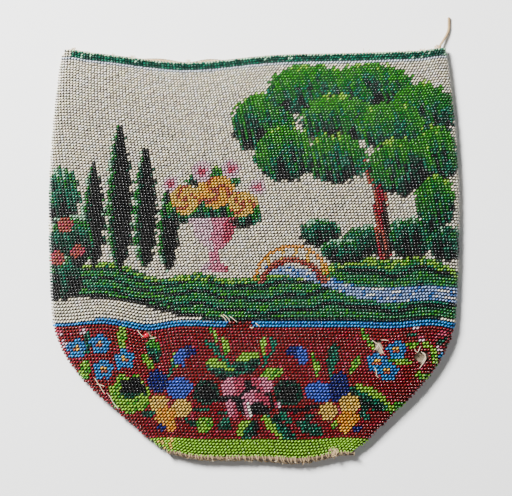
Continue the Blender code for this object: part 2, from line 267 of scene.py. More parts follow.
# One seed bead: a short cut of drawn glass tube, tumbled hot until its edges round, wider than
# long, with a dimple where the thread runs in. Every bead of the pouch is a turned copy of it.
BEAD_WIDTH = 1.30 * MM
BEAD_LENGTH = 0.78 * MM
SHOULDER_SHARE = 0.66
SHOULDER_RISE = 0.84
DIMPLE_RISE = 0.52
# Painted shade: each bead's colour is darkened toward its ends and bore, where its neighbours and the thread
# shade it.
PAINTED_BORE_SHADE = 0.10
PAINTED_END_SHADE = 0.24
NEAR_NOTHING = 0.1
MAP_MARGIN = 0.08

bm = bmesh.new()
seed_layer = bm.loops.layers.uv.new("OFBake")
bmesh.ops.create_uvsphere(bm, u_segments=8, v_segments=4, radius=1, calc_uvs=True)
for corner in bm.verts:
    round_share = math.hypot(corner.co.x, corner.co.y)
    up = math.copysign(1, corner.co.z) if abs(corner.co.z) > NEAR_NOTHING else 0
    if round_share < NEAR_NOTHING:
        corner.co = (0, 0, up * DIMPLE_RISE * BEAD_LENGTH / 2)
    elif up:
        narrow = SHOULDER_SHARE / round_share * BEAD_WIDTH / 2
        corner.co = (corner.co.x * narrow, corner.co.y * narrow, up * SHOULDER_RISE * BEAD_LENGTH / 2)
    else:
        corner.co = (corner.co.x * BEAD_WIDTH / 2, corner.co.y * BEAD_WIDTH / 2, 0)
seed_points = np.array([corner.co[:] for corner in bm.verts])
seed_corners = np.array([corner.index for face in bm.faces for corner in face.verts])
seed_sides = np.array([len(face.verts) for face in bm.faces])
seed_map = np.array([corner[seed_layer].uv[:] for face in bm.faces for corner in face.loops])
# The painted shade of each point of the seed bead: full colour round its middle, dark at its ends, darkest in
# the bore.
painted_seed_shade = np.where(np.abs(seed_points[:, 2]) > NEAR_NOTHING * MM, PAINTED_END_SHADE, 1.0)
painted_seed_shade[np.hypot(seed_points[:, 0], seed_points[:, 1]) < NEAR_NOTHING * MM] = PAINTED_BORE_SHADE
bm.free()


def bead_mesh(name, places, turns, sizes, colours):
    """Turned copies of the seed bead as one mesh. Each bead has its own square of the map, and
    its colour carries a painted shade, darker toward its ends and darkest at the bore."""
    count = len(places)
    points = (seed_points[None] * sizes[:, None, None]) @ turns.transpose(0, 2, 1) + places[:, None]
    starts = np.concatenate([[0], np.cumsum(np.tile(seed_sides, count))[:-1]])
    corners = seed_corners[None] + np.arange(count)[:, None] * len(seed_points)
    squares = math.ceil(math.sqrt(count))
    square = np.stack([np.arange(count) % squares, np.arange(count) // squares], axis=1)
    spread = (square[:, None] + MAP_MARGIN + (1 - 2 * MAP_MARGIN) * seed_map[None]) / squares
    mesh = bpy.data.meshes.new(name)
    mesh.vertices.add(count * len(seed_points))
    mesh.vertices.foreach_set("co", points.ravel())
    mesh.loops.add(corners.size)
    mesh.loops.foreach_set("vertex_index", corners.ravel())
    mesh.polygons.add(count * len(seed_sides))
    mesh.polygons.foreach_set("loop_start", starts)
    mesh.polygons.foreach_set("use_smooth", np.ones(count * len(seed_sides), dtype=bool))
    mesh.uv_layers.new(name="OFBake").uv.foreach_set("vector", spread.ravel())
    # Each bead's colour times the painted shade of the seed bead.
    glass = np.ones((count, len(seed_points), 4))
    glass[..., :3] = colours[:, None] * painted_seed_shade[None, :, None]
    colour = mesh.color_attributes.new("glass_colour_and_painted_shade", "FLOAT_COLOR", "POINT")
    colour.data.foreach_set("color", glass.ravel())
    mesh.update(calc_edges=True)
    mesh.validate()
    return mesh


def place_piece(name, mesh, finish):
    """A finished mesh as a piece with its finish."""
    mesh.materials.append(finish)
    piece = bpy.data.objects.new(name, mesh)
    bpy.context.scene.collection.objects.link(piece)
    return piece


# The glass. Most beads are clear glass with a wet gloss, and the ivory ones are opaque. Handling
# has left a dull film in patches, and no two beads of a colour are quite alike.
CLEAR_BENDING, OPAQUE_BENDING = 1.44, 1.52
FILM_SCALE = 420
FILM_DULLING = 0.12
DUST_SHARE = 0.04
DUST_COLOUR = (0.30, 0.25, 0.19, 1)


def new_finish(name):
    """A new material, with its shader and the place of each point on the pouch."""
    made = bpy.data.materials.new(name)
    made.use_nodes = True
    place = made.node_tree.nodes.new("ShaderNodeTexCoord").outputs["Object"]
    return made, made.node_tree.nodes["Principled BSDF"], place


def set_sockets(made, node, sockets):
    """Each named socket gets a value, or a link from another node's output."""
    for socket, value in sockets.items():
        if isinstance(value, bpy.types.NodeSocket):
            made.node_tree.links.new(value, node.inputs[socket])
        else:
            node.inputs[socket].default_value = value


def add_node(made, kind, sockets, **options):
    """A new node in a material."""
    node = made.node_tree.nodes.new(f"ShaderNode{kind}")
    for option, value in options.items():
        setattr(node, option, value)
    set_sockets(made, node, sockets)
    return node


def patches_of(made, place, scale, detail=2):
    """Soft uneven patches, finer as the scale goes up."""
    return add_node(made, "TexNoise", {"Vector": place, "Scale": scale, "Detail": detail}).outputs["Fac"]


def mixed(made, share, first, second, way="MIX"):
    """Two colours mixed, as the share says."""
    sockets = {"Factor": share, "A": first, "B": second}
    return add_node(made, "Mix", sockets, data_type="RGBA", blend_type=way).outputs["Result"]


def bead_glass(name, bending, roughness, coat):
    """Glass that takes each bead's own colour with its painted shade, under a film that dulls it here and
    there.
    """
    made, shader, place = new_finish(name)
    colour = add_node(made, "Attribute", {}, attribute_name="glass_colour_and_painted_shade").outputs["Color"]
    film = patches_of(made, place, FILM_SCALE, 3)
    dulling = {"From Min": 0.35, "From Max": 0.75, "To Min": roughness, "To Max": roughness + FILM_DULLING}
    dusting = {"From Min": 0.45, "From Max": 0.90, "To Max": DUST_SHARE}
    dust = add_node(made, "MapRange", {"Value": film} | dusting).outputs["Result"]
    looks = {
        "Base Color": mixed(made, dust, colour, DUST_COLOUR),
        "Roughness": add_node(made, "MapRange", {"Value": film} | dulling).outputs["Result"],
        "IOR": bending,
        "Coat Weight": coat,
        "Coat Roughness": 0.20,
    }
    set_sockets(made, shader, looks)
    return made


clear_glass = bead_glass("clear_bead_glass", CLEAR_BENDING, 0.13, 0.0)
opaque_glass = bead_glass("opaque_bead_glass", OPAQUE_BENDING, 0.16, 0.20)

GLASS = {
    "ivory": (0.90, 0.82, 0.64),
    "cream": (0.90, 0.80, 0.56),
    "chalk": (0.94, 0.90, 0.81),
    "greige": (0.58, 0.52, 0.42),
    "frost": (0.62, 0.70, 0.78),
    "teal": (0.001, 0.055, 0.034),
    "sea": (0.001, 0.140, 0.075),
    "pine": (0.002, 0.042, 0.024),
    "leaf": (0.001, 0.135, 0.010),
    "grass": (0.020, 0.235, 0.006),
    "emerald": (0.012, 0.185, 0.062),
    "mint": (0.300, 0.620, 0.380),
    "lime": (0.230, 0.530, 0.018),
    "jet": (0.006, 0.007, 0.008),
    "umber": (0.030, 0.012, 0.010),
    "maroon": (0.200, 0.006, 0.008),
    "garnet": (0.300, 0.004, 0.022),
    "brick": (0.360, 0.060, 0.035),
    "rose": (0.460, 0.035, 0.085),
    "pink": (0.720, 0.185, 0.300),
    "blush": (0.800, 0.520, 0.600),
    "orange": (0.820, 0.280, 0.006),
    "gold": (0.830, 0.430, 0.030),
    "straw": (0.800, 0.500, 0.085),
    "sky": (0.002, 0.230, 0.620),
    "cornflower": (0.006, 0.120, 0.440),
    "mist": (0.260, 0.390, 0.700),
    "cobalt": (0.035, 0.085, 0.540),
    "navy": (0.006, 0.008, 0.130),
}


def tints(glass):
    """The colour of each bead, from the name of its glass."""
    names, where = np.unique(glass, return_inverse=True)
    return np.array([GLASS[name] for name in names])[where]


# How the beads lie. In bead knitting each bead slips down one leg of its stitch, so all of them
# lean the same way, and the columns of stitches drift to the right as they go down.
BEAD_TILT = math.radians(39)
TILT_SPREAD = math.radians(5)
PLACE_SPREAD = 0.045 * MM
SIZE_SPREAD = 0.035
VALUE_SPREAD = 0.10
FULL_ROW = 1.08 * MM


def knit(rows, pitch, paint, seed, tilt_spread=TILT_SPREAD):
    """All beads of some rows. Each row is a height and the shares of the way round where its
    beads sit. Gives places, turns, sizes, colours, walls, depths inside the outline and heights."""
    luck = np.random.default_rng(seed)
    places, turns, sizes, fronts, depths, levels = [], [], [], [], [], []
    for height, shares in rows:
        at, along, up, outward, front = fabric_at(shares, height)
        tilt = BEAD_TILT + luck.normal(0, tilt_spread, len(shares))
        nod = luck.normal(0, TILT_SPREAD, len(shares))
        long_way = along * np.cos(tilt)[:, None] + up * np.sin(tilt)[:, None]
        bore = up * np.cos(tilt)[:, None] - along * np.sin(tilt)[:, None]
        bore = bore * np.cos(nod)[:, None] + outward * np.sin(nod)[:, None]
        turns.append(np.stack([long_way, np.cross(bore, long_way), bore], axis=2))
        places.append(at + luck.normal(0, PLACE_SPREAD, at.shape) * (1, 1, 0.5))
        sizes.append(min(1, pitch / FULL_ROW) * (1 + luck.normal(0, SIZE_SPREAD, len(shares))))
        fronts.append(front)
        depths.append(inward(at[:, 0], height))
        levels.append(np.full(len(shares), height))
    beads = {
        "place": np.concatenate(places),
        "turn": np.concatenate(turns),
        "size": np.concatenate(sizes),
        "front": np.concatenate(fronts),
        "depth": np.concatenate(depths),
        "row": np.concatenate(levels),
    }
    across = beads["place"][:, 0] / MM
    height = (beads["place"][:, 1] + TIP_HEIGHT / 2) / MM
    glass = paint(across, height, luck.random((3, len(across))), beads["front"])
    value = np.exp(luck.normal(0, VALUE_SPREAD, len(across)))
    hue = np.exp(luck.normal(0, VALUE_SPREAD / 4, (len(across), 3)))
    beads["colour"] = tints(glass) * value[:, None] * hue
    return beads


def string_up(name, beads, picked, finish):
    """The picked beads as one piece."""
    parts = [beads[part][picked] for part in ("place", "turn", "size", "colour")]
    return place_piece(name, bead_mesh(name, *parts), finish)


# The front's pieces stay where they were built, with their placement baked into the mesh. The
# upper and lower ones meet at the join height.
OPENING_JOIN = 0.0531


def open_upper(piece, side):
    """Bakes an upper front piece's placement into its mesh."""
    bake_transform(piece)


def open_lower(piece, side):
    """Bakes a lower front piece's placement into its mesh."""
    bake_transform(piece)


SIDES = (("left", -1), ("right", 1))


def string_band(band, beads, finish, fold_node, opening, cuts=()):
    """A band of rows as pieces: the front's two halves, the back and both turned sides. A band
    of many rows is cut between rows, to keep each piece light."""
    across = beads["place"][:, 0]
    panel = beads["depth"] > FOLD_WIDTH + CLEARANCE / 2
    edges = [0, *cuts, 1]
    for number, (low, high) in enumerate(zip(edges, edges[1:])):
        between = (beads["row"] >= low) & (beads["row"] < high)
        mark = f"_{number + 1}" if cuts else ""
        for side_name, side in SIDES:
            half = between & panel & beads["front"] & (side * across > 0)
            piece = string_up(f"front_{band}_beads_{side_name}{mark}", beads, half, finish)
            opening(piece, side)
            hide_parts(f"front_{band}")
        piece = string_up(f"back_{band}_beads{mark}", beads, between & panel & ~beads["front"], finish)
        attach(piece, "back_wall")
        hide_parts(f"back_{band}")
    for side_name, side in SIDES:
        turned = ~panel & (side * across > 0)
        piece = string_up(f"{side_name}_turn_{band}_beads", beads, turned, finish)
        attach(piece, "back_wall")
        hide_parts(f"{side_name}_{fold_node}")


# Above the hip every row has the same number of beads, so the columns crowd together toward the
# mouth. They run down to the right, and steeply so at the mouth's right side.
ROUND_BEADS = 250
COLUMN_SLOPE = math.tan(math.radians(11))
MOUTH_SLOPE = 0.11
MOUTH_TWIST = 0.24
TWIST_FOOT = 0.128


def round_rows(heights, shares):
    """Rows that run right round the tube, upward from the columns' places in the row below."""
    rows = []
    for number, height in enumerate(heights):
        rows.append((height, shares))
        step = heights[number + 1] - height if number + 1 < len(heights) else 0
        near_mouth = np.clip((height - TWIST_FOOT) / (MOUTH_HEIGHT - TWIST_FOOT), 0, 1)
        slope = COLUMN_SLOPE + near_mouth * (MOUTH_SLOPE + MOUTH_TWIST * np.sin(math.tau * shares))
        shares = (shares - slope * step / loop_at(height)[0][-1]) % 1
    return rows, shares


# Knitters draw a bead pattern as ovals and lines on squared paper, one square to a bead. All
# the patterns below are drawn so, in millimetres across the pouch and up from its foot.
COLUMN_LEAN = 0.194
COLUMN_STEP = 1.29
ROW_STEP = 1.13


def oval(across, height, middle, reach, turn=0):
    """How far each bead lies from an oval's middle, 1 on its edge. The turn is in degrees."""
    east, north = across - middle[0], height - middle[1]
    cosine, sine = math.cos(math.radians(turn)), math.sin(math.radians(turn))
    return np.hypot((east * cosine + north * sine) / reach[0], (north * cosine - east * sine) / reach[1])


def off_line(across, height, start, end):
    """How far each bead lies from a straight line between two places."""
    run = np.array(end) - np.array(start)
    share = ((across - start[0]) * run[0] + (height - start[1]) * run[1]) / (run @ run)
    share = np.clip(share, 0, 1)
    return np.hypot(across - start[0] - share * run[0], height - start[1] - share * run[1])


def column_streak(across, height, seed):
    """One number from 0 to 1, as if by chance, for each column and every few rows of it, so that
    colours run in streaks."""
    column = np.round((across + COLUMN_LEAN * height) / COLUMN_STEP)
    stretch = np.floor(height / (7 * ROW_STEP) + 0.5 * np.sin(column * 2.4))
    return np.modf(np.abs(np.sin(column * 12.9898 + stretch * 78.233 + seed) * 43758.5453))[0]


def shaded(shade, steps):
    """Beads picked by a shade. Between two colours stands the shade at which they change."""
    return np.array(steps[::2], dtype="U12")[np.searchsorted(steps[1::2], shade)]


def two_tone(glass, inside, first_where, first, second):
    """Beads of two colours inside a shape."""
    glass[inside] = np.where(first_where, first, second)[inside]


# The blue stripe: two rows of bright blue beads round the hip, under a dark row that is the
# picture's ground line. Left of the middle it is worn through, and black and maroon beads show.
STRIPE_FOOT, STRIPE_TOP = 0.0532, 0.0570
STRIPE_ROWS = 3
BREAK_SPAN = (-10.5, -0.8)
SECOND_ROW_START = -61.6
GROUND_LINE_SPAN = (-21.0, 73.0)


def paint_stripe(across, height, luck, front):
    """The lower blue row, which runs right round."""
    glass = np.where(luck[0] < 0.75, "sky", "cornflower").astype("U12")
    broken = front & (across > BREAK_SPAN[0]) & (across < BREAK_SPAN[1])
    glass[broken] = shaded(luck[1], ("jet", 0.45, "maroon", 0.8, "umber"))[broken]
    return glass


def paint_second_row(across, height, luck, front):
    """The upper blue row, which is ivory at its left end."""
    glass = paint_stripe(across, height, luck, front)
    glass[front & (across < SECOND_ROW_START)] = "ivory"
    return glass


def paint_ground_line(across, height, luck, front):
    """The dark row under the bank, ivory where the sky comes down to the stripe."""
    glass = np.where(luck[0] < 0.7, "jet", "pine").astype("U12")
    glass[(across < GROUND_LINE_SPAN[0]) | (across > GROUND_LINE_SPAN[1])] = "ivory"
    glass[(luck[1] < 0.22) & (glass == "ivory")] = "cream"
    return glass


stripe_pitch = (STRIPE_TOP - STRIPE_FOOT) / STRIPE_ROWS
stripe_heights = STRIPE_FOOT + stripe_pitch * (np.arange(STRIPE_ROWS) + 0.5)
stripe_rows, column_shares = round_rows(stripe_heights, np.arange(ROUND_BEADS) / ROUND_BEADS)
strung = [
    knit([row], stripe_pitch, paint, seed)
    for row, paint, seed in zip(stripe_rows, (paint_stripe, paint_second_row, paint_ground_line), (3, 8, 9))
]
stripe_beads = {part: np.concatenate([beads[part] for beads in strung]) for part in strung[0]}
string_band("blue_stripe", stripe_beads, clear_glass, "side_fold", open_upper)

# The picture field: ninety-one rows with a garden under an ivory sky. A round-crowned tree fills
# the right side, cypresses stand at the left and an urn of flowers between them, on a green bank
# with a brook and a footbridge.
PICTURE_ROWS = 91
PICTURE_PITCH = 1.01 * MM
PICTURE_CUTS = (0.090, 0.123)
ROW_CROWDING = 0.09
PALE_ROW_HEIGHT = 157.4
LEAF_SHADES = ("jet", -0.46, "pine", -0.22, "sea", -0.04, "leaf", 0.34, "grass", 1.00, "lime")
DEEP_SHADES = ("jet", -0.30, "pine", 0.10, "sea", 0.45, "leaf", 0.75, "mint")
CYPRESS_SHADES = ("jet", 0.36, "pine", 0.56, "leaf", 0.80, "mint")
URN_SHADES = ("blush", -0.12, "pink", 0.42, "rose", 0.80, "umber")
BANK_HEIGHT = 73
BANK_RISES = ((6, -66, 20), (8, 52, 30))
BRIDGE_MIDDLE = (15, 69)
BRIDGE_ARCH, BRIDGE_RAIL = (13.5, 11.5), (15.5, 16.5)
BOUGHS = (
    ((51, 82), (49, 108), 2.6),
    ((49, 106), (38, 126), 1.7),
    ((49, 104), (60, 124), 1.6),
    ((50, 100), (50, 134), 1.3),
)
CROWN_CLUMPS = (
    ((4, 133), (13, 12)),
    ((22, 146), (17, 10)),
    ((46, 147), (17, 9.5)),
    ((66, 137), (13, 12)),
    ((33, 134), (15, 10)),
    ((54, 131), (13, 10)),
    ((12, 121), (12, 11)),
    ((71, 120), (9, 12)),
    ((32, 119), (12, 10)),
    ((58, 116), (13, 11)),
    ((71, 102), (8, 11)),
)
THICKET_CLUMPS = (
    ((26, 90), (8, 6)),
    ((44, 87), (9, 6)),
    ((61, 88), (10, 8)),
    ((75, 86), (7, 7)),
    ((35, 83), (9, 5)),
)
BUSH_CLUMPS = (((-75, 104), (7, 12)), ((-72, 86), (9, 11)), ((-77, 72), (10, 9)))
BUSH_ROSES = (((-74, 93), 3.2), ((-69, 83), 2.6), ((-77, 80), 3.0))
URN_MIDDLE = -15.5
URN_LEAVES = (((-27, 99), (7, 5)), ((-15, 100), (12, 7)), ((-4, 98), (7, 6)), ((-16, 111), (10, 5)))
CYPRESSES = ((-62.5, 77, 118, 5.2), (-52.5, 75, 133, 6.0), (-42.5, 76, 124, 5.4), (-33.5, 75, 109, 4.6))
ROSES = (((-26.5, 103), 6.2, "gold"), ((-15, 106.5), 7.0, "orange"), ((-4.5, 101.5), 5.6, "gold"))
BLOSSOMS = (((-20.5, 114), 4.0), ((-9, 115), 3.6), ((-32.5, 109), 3.0), ((1.5, 108), 3.0))


def sky_beads(luck):
    """Ivory beads of mixed batches."""
    glass = np.full(luck.shape[1], "ivory", dtype="U12")
    glass[luck[0] < 0.22] = "cream"
    glass[luck[0] > 0.82] = "chalk"
    glass[luck[1] < 0.07] = "greige"
    return glass


def leaf_clump(glass, across, height, luck, middle, reach, shades):
    """A rounded clump of leaves, lit along its top and dark underneath, in drooping streaks."""
    away = oval(across, height, middle, reach)
    lit = (height - middle[1]) / reach[1] * 0.75 - (across - middle[0]) / reach[0] * 0.12
    streak = column_streak(across, height, middle[0]) - 0.5
    shade = lit + 0.85 * streak + 0.24 * (luck[1] - 0.5) + 0.45 * (away - 0.7) * (height > middle[1])
    inside = away < 1 + 0.16 * (luck[0] - 0.5) + 0.10 * streak
    glass[inside] = shaded(shade, shades)[inside]


def cypress(glass, across, height, luck, middle, foot, top, reach):
    """A slim dark tree with a ragged outline and pale lit tips."""
    rise = (height - foot) / (top - foot)
    ragged = 0.80 + 0.34 * np.modf(np.abs(height * 0.17 + middle))[0]
    spread = reach * np.clip(4 * rise * (1 - rise), 0.02, 1) ** 0.65 * (1.15 - 0.5 * rise) * ragged
    aside = (across - middle) / spread
    inside = (rise > 0) & (rise < 1) & (np.abs(aside) < 1 + 0.3 * (luck[0] - 0.5))
    shade = np.abs(aside) * 0.95 - 0.55 * (aside > 0.2) + 0.35 * (luck[1] - 0.5)
    glass[inside] = shaded(shade, CYPRESS_SHADES)[inside]


def rosette(glass, across, height, middle, reach, tone):
    """A full-blown rose: a dark heart in rings of petals."""
    away = oval(across, height, middle, (reach, reach * 0.92))
    swirl = np.sin(3 * np.arctan2(height - middle[1], across - middle[0]) + away * 6.5)
    inside = away < 1 + 0.08 * swirl
    petal = np.where(swirl > 0.25, "straw" if tone == "gold" else "gold", tone).astype("U12")
    petal[(swirl < -0.72) | (away < 0.2)] = "brick"
    glass[inside] = petal[inside]


def paint_picture(across, height, luck, front):
    """The whole garden, from the ground up."""
    glass = sky_beads(luck)
    streak = column_streak(across, height, 5)

    # The bank with its dark contour lines
    crest = BANK_HEIGHT + humps(across * MM, BANK_RISES) + 1.2 * np.sin(across * 0.21)
    keel = 56 + 10 / (1 + np.exp((across + 38) / 9))
    bank = (height < crest) & (height > keel)
    level = (height - keel) / (crest - keel)
    wave = np.modf(np.abs(level * 3.4 + 0.22 * np.sin(across * 0.13 + 1) + 0.12 * np.sin(across * 0.37)))[0]
    green = np.where(streak * 0.5 + luck[1] * 0.5 < 0.42, "leaf", "grass").astype("U12")
    green[luck[2] < 0.55] = "emerald"
    lined = wave > 0.56
    green[lined] = shaded(wave, ("pine", 0.70, "jet", 0.84, "sea"))[lined]
    green[(level > 0.86) & (luck[0] < 0.6)] = "lime"
    glass[bank] = green[bank]
    glass[(np.abs(height - keel) < 0.9) & (across < -18)] = "jet"

    # The brook, and the footbridge over its upper end
    middle = 74 - 0.145 * (across - 6) + 2.2 * np.sin(across * 0.105)
    brook = (np.abs(height - middle) < 1.6 + 0.022 * (across - 6)) & (across > 4)
    water = np.where(np.sin(height * 2.3 + across * 0.3) + luck[0] > 1.35, "chalk", "mist").astype("U12")
    water[luck[1] < 0.18] = "cornflower"
    glass[brook] = water[brook]
    for clump in THICKET_CLUMPS:
        leaf_clump(glass, across, height, luck, *clump, DEEP_SHADES)
    arch = oval(across, height, BRIDGE_MIDDLE, BRIDGE_ARCH)
    two_tone(glass, (arch > 0.80) & (arch < 1) & (height > 70), arch < 0.87, "maroon", "brick")
    rail = oval(across, height, BRIDGE_MIDDLE, BRIDGE_RAIL)
    glass[(rail > 0.93) & (rail < 1) & (height > 72)] = "orange"
    posts = np.abs(np.modf(np.abs(across + 2) / 5.2)[0] - 0.5) < 0.11
    glass[posts & (rail < 0.95) & (arch > 0.98) & (height > 73)] = "gold"

    # The tree: boughs first, then its crown from the top down
    for start, end, thick in BOUGHS:
        bark = off_line(across, height, start, end) < thick * (1 + 0.25 * (luck[0] - 0.5))
        glass[bark] = shaded(streak, ("umber", 0.30, "garnet", 0.62, "brick"))[bark]
    for clump in CROWN_CLUMPS:
        leaf_clump(glass, across, height, luck, *clump, LEAF_SHADES)

    # Cypresses, and a rose bush at the left edge
    for tree in CYPRESSES:
        cypress(glass, across, height, luck, *tree)
    for clump in BUSH_CLUMPS:
        leaf_clump(glass, across, height, luck, *clump, DEEP_SHADES)
    for middle_bud, reach_bud in BUSH_ROSES:
        bud = oval(across, height, middle_bud, (reach_bud, reach_bud)) < 1
        two_tone(glass, bud, luck[2] < 0.35, "rose", "brick")

    # The urn on its foot, full of roses
    for clump in URN_LEAVES:
        leaf_clump(glass, across, height, luck, *clump, LEAF_SHADES)
    aside = np.abs(across - URN_MIDDLE)
    bowl = (oval(across, height, (URN_MIDDLE, 94), (8.4, 10.5)) < 1) & (height < 94)
    foot = (aside < 2.0 + 4.2 * np.clip((79.5 - height) / 4.5, 0, 1)) & (height > 75) & (height < 84.5)
    lip = (aside < 9.8) & (np.abs(height - 94.6) < 1.3)
    urn = bowl | foot | lip
    glass[urn] = shaded((across - URN_MIDDLE) / 9 + 0.35 * (luck[1] - 0.5), URN_SHADES)[urn]
    for rose in ROSES:
        rosette(glass, across, height, *rose)
    for middle_blossom, reach_blossom in BLOSSOMS:
        away = oval(across, height, middle_blossom, (reach_blossom, reach_blossom))
        two_tone(glass, away < 1, away + 0.5 * (luck[0] - 0.5) < 0.5, "pink", "blush")
        glass[away < 0.32] = "rose"
    glass[height > PALE_ROW_HEIGHT - mouth_drop(across * MM, front) / MM] = "frost"
    return glass


picture_steps = (np.arange(PICTURE_ROWS) + 0.5) / PICTURE_ROWS
picture_shares = picture_steps * (1 + ROW_CROWDING) - ROW_CROWDING * picture_steps**2
picture_heights = PICTURE_FOOT + (PICTURE_TOP - PICTURE_FOOT) * picture_shares
picture_rows, column_shares = round_rows(picture_heights, column_shares)
picture_beads = knit(picture_rows, PICTURE_PITCH, paint_picture, 4)
string_band(
    "picture_field",
    picture_beads,
    opaque_glass,
    "side_fold",
    open_upper,
    cuts=PICTURE_CUTS,
)

# The rim: three rows of dark teal beads, where the knitting was cast on. The topmost row is greener,
# mint and sea green as a painted highlight where the edge rolls up to the light, and a few mint beads
# below it are painted highlights too. Its left corner is rounded and ivory.
RIM_ROWS = 3
TOP_ROW_HEIGHT = 160.5
RIM_ENDS = (-71.5, 74.2)
CORNER_PLACE, CORNER_SLOPE = (-75.5, 159.6), 0.9
RIM_FOOT, RIM_TOP = 0.1586, 0.1616
RIM_TILT_SPREAD = math.radians(14)
RIM_FILL = 1.02 * MM
rim_pitch = (RIM_TOP - RIM_FOOT) / RIM_ROWS


def paint_rim(across, height, luck, front):
    """Dark teal and sea green, with mint beads as painted highlights, scattered and along the topmost row."""
    # The few mint beads here are painted highlights.
    glass = shaded(luck[0], ("teal", 0.56, "sea", 0.95, "mint"))
    # The topmost row, half mint and half sea green, is a painted highlight.
    topmost_painted_highlight = height > TOP_ROW_HEIGHT - mouth_drop(across * MM, front) / MM
    two_tone(glass, topmost_painted_highlight, luck[1] < 0.48, "mint", "sea")
    glass[across < RIM_ENDS[0]] = "ivory"
    glass[across > RIM_ENDS[1]] = "mint"
    return glass


rim_rows, _ = round_rows(RIM_FOOT + rim_pitch * (np.arange(RIM_ROWS) + 0.5), column_shares)
rim_beads = knit(rim_rows, RIM_FILL, paint_rim, 5, RIM_TILT_SPREAD)
rim_across, rim_height = rim_beads["place"][:, 0] / MM, (rim_beads["place"][:, 1] + TIP_HEIGHT / 2) / MM
rounded = rim_height < CORNER_PLACE[1] + CORNER_SLOPE * (rim_across - CORNER_PLACE[0])
rim_beads = {part: values[rounded] for part, values in rim_beads.items()}
string_band("rim_band", rim_beads, clear_glass, "side_fold", open_upper)

# The flower band: maroon beads with a posy along it, of forget-me-nots at both ends, a pansy
# at either side of a rose, and their buds and leaves.
FLOWER_ROWS = 36
FLOWER_FOOT, FLOWER_TOP = 0.0095, 0.0532
TAPER_PITCH = 1.35 * MM
EDGE_ROOM = 0.45
FORGET_ME_NOTS = (
    (-69.3, 44.6),
    (-60.2, 46.5),
    (-50.7, 40.6),
    (-58.7, 36.5),
    (55.9, 44.3),
    (48.0, 39.4),
    (52.3, 36.0),
)
PETAL_CIRCLE, PETAL_REACH = 2.5, 1.75
PINK_FLOWERS = (
    (-76.0, 51.0),
    (-74.6, 46.6),
    (74.0, 50.4),
    (72.4, 45.2),
    (65.6, 49.2),
    (63.4, 53.4),
    (-66.6, 51.6),
)
STEMS = (
    ((-19, 48), (-9, 38)),
    ((5, 43), (4, 38)),
    ((-33, 35), (-31, 40)),
    ((31, 40), (30, 35)),
    ((10, 22), (14, 16)),
)
BLUE_BUDS = (((-26.8, 42.0), 1), ((17.0, 42.2), -1))
ROUND_LEAVES = (((-18.6, 28.1), (5.2, 5.0)), ((13.5, 27.8), (5.8, 5.2)))
ROSE_SHADOWS = (
    ((-17, 25.4), (-5, 25.4)),
    ((4, 24.6), (10.3, 21.1)),
    ((10.3, 21.1), (15.5, 20.4)),
    ((15.5, 20.4), (25.5, 22.8)),
)
ROSE_PETALS = (
    ((-8.1, 30.0), (5.2, 3.9), 14, 1),
    ((3.3, 31.0), (4.7, 2.7), -22, -1),
    ((-8.6, 21.3), (2.4, 4.2), 20, 1),
    ((1.0, 25.4), (5.6, 2.8), -12, 1),
    ((-2.6, 21.4), (1.6, 4.2), 4, 1),
    ((9.5, 23.0), (1.2, 1.7), 0, -9),
)
LIME_LEAVES = (
    ((-51.6, 49.0), (1.9, 4.6), 0),
    ((-41.4, 39.9), (1.2, 4.0), 35),
    ((-66.3, 36.0), (2.4, 4.2), -20),
    ((-31.0, 39.9), (0.9, 3.4), 8),
    ((-11.2, 46.0), (1.5, 3.4), 12),
    ((-15.4, 50.4), (0.9, 3.2), 25),
    ((-19.3, 15.0), (3.2, 3.4), -40),
    ((6.9, 35.3), (4.2, 2.3), 15),
    ((24.0, 38.5), (1.2, 4.6), 14),
    ((39.5, 38.8), (1.2, 4.2), -32),
    ((44.2, 48.8), (1.2, 4.6), 32),
    ((57.0, 40.0), (4.5, 1.6), -14),
    ((66.4, 34.2), (3.0, 1.4), -12),
    ((55.5, 21.8), (4.0, 1.6), 20),
    ((61.5, 46.4), (2.8, 1.2), 8),
    ((67.6, 46.2), (2.4, 1.3), -20),
    ((70.4, 42.2), (1.2, 4.6), 12),
)
DARK_LEAVES = (
    ((-65.2, 47.4), (1.6, 5.0), 0),
    ((-41.4, 19.3), (2.5, 1.6), 0),
    ((-11.3, 15.1), (2.7, 2.4), 20),
    ((30.9, 42.2), (2.2, 5.4), -8),
    ((9.5, 18.0), (2.6, 1.2), 10),
    ((21.9, 13.7), (5.6, 2.4), -25),
    ((21.8, 18.4), (2.4, 1.2), 0),
    ((43.2, 18.7), (2.4, 1.4), -35),
    ((-20.6, 21.3), (3.6, 0.8), 0),
    ((-12.8, 19.5), (2.3, 0.9), 0),
    ((43.0, 22.4), (1.4, 2.8), 20),
    ((-24.5, 15.8), (2.8, 1.1), -25),
    ((73.2, 47.6), (2.6, 0.9), 35),
    ((76.2, 45.4), (0.8, 2.2), 20),
    ((61.5, 50.6), (2.2, 0.8), -5),
)
LEFT_PANSY = (
    ((-29.1, 29.6), (5.0, 4.1), 8, "cobalt", "cobalt"),
    ((-37.5, 32.0), (3.9, 4.7), 12, "navy", "navy"),
    ((-37.2, 23.5), (3.8, 3.4), 0, "straw", "gold"),
    ((-28.4, 21.7), (4.0, 3.8), 0, "straw", "straw"),
    ((-34.6, 18.6), (4.3, 3.6), 10, "orange", "gold"),
    ((-32.4, 14.6), (2.1, 2.4), 0, "orange", "gold"),
    ((-36.2, 13.9), (2.2, 1.3), 0, "navy", "navy"),
    ((-33.2, 23.2), (1.2, 1.2), 0, "rose", "rose"),
)
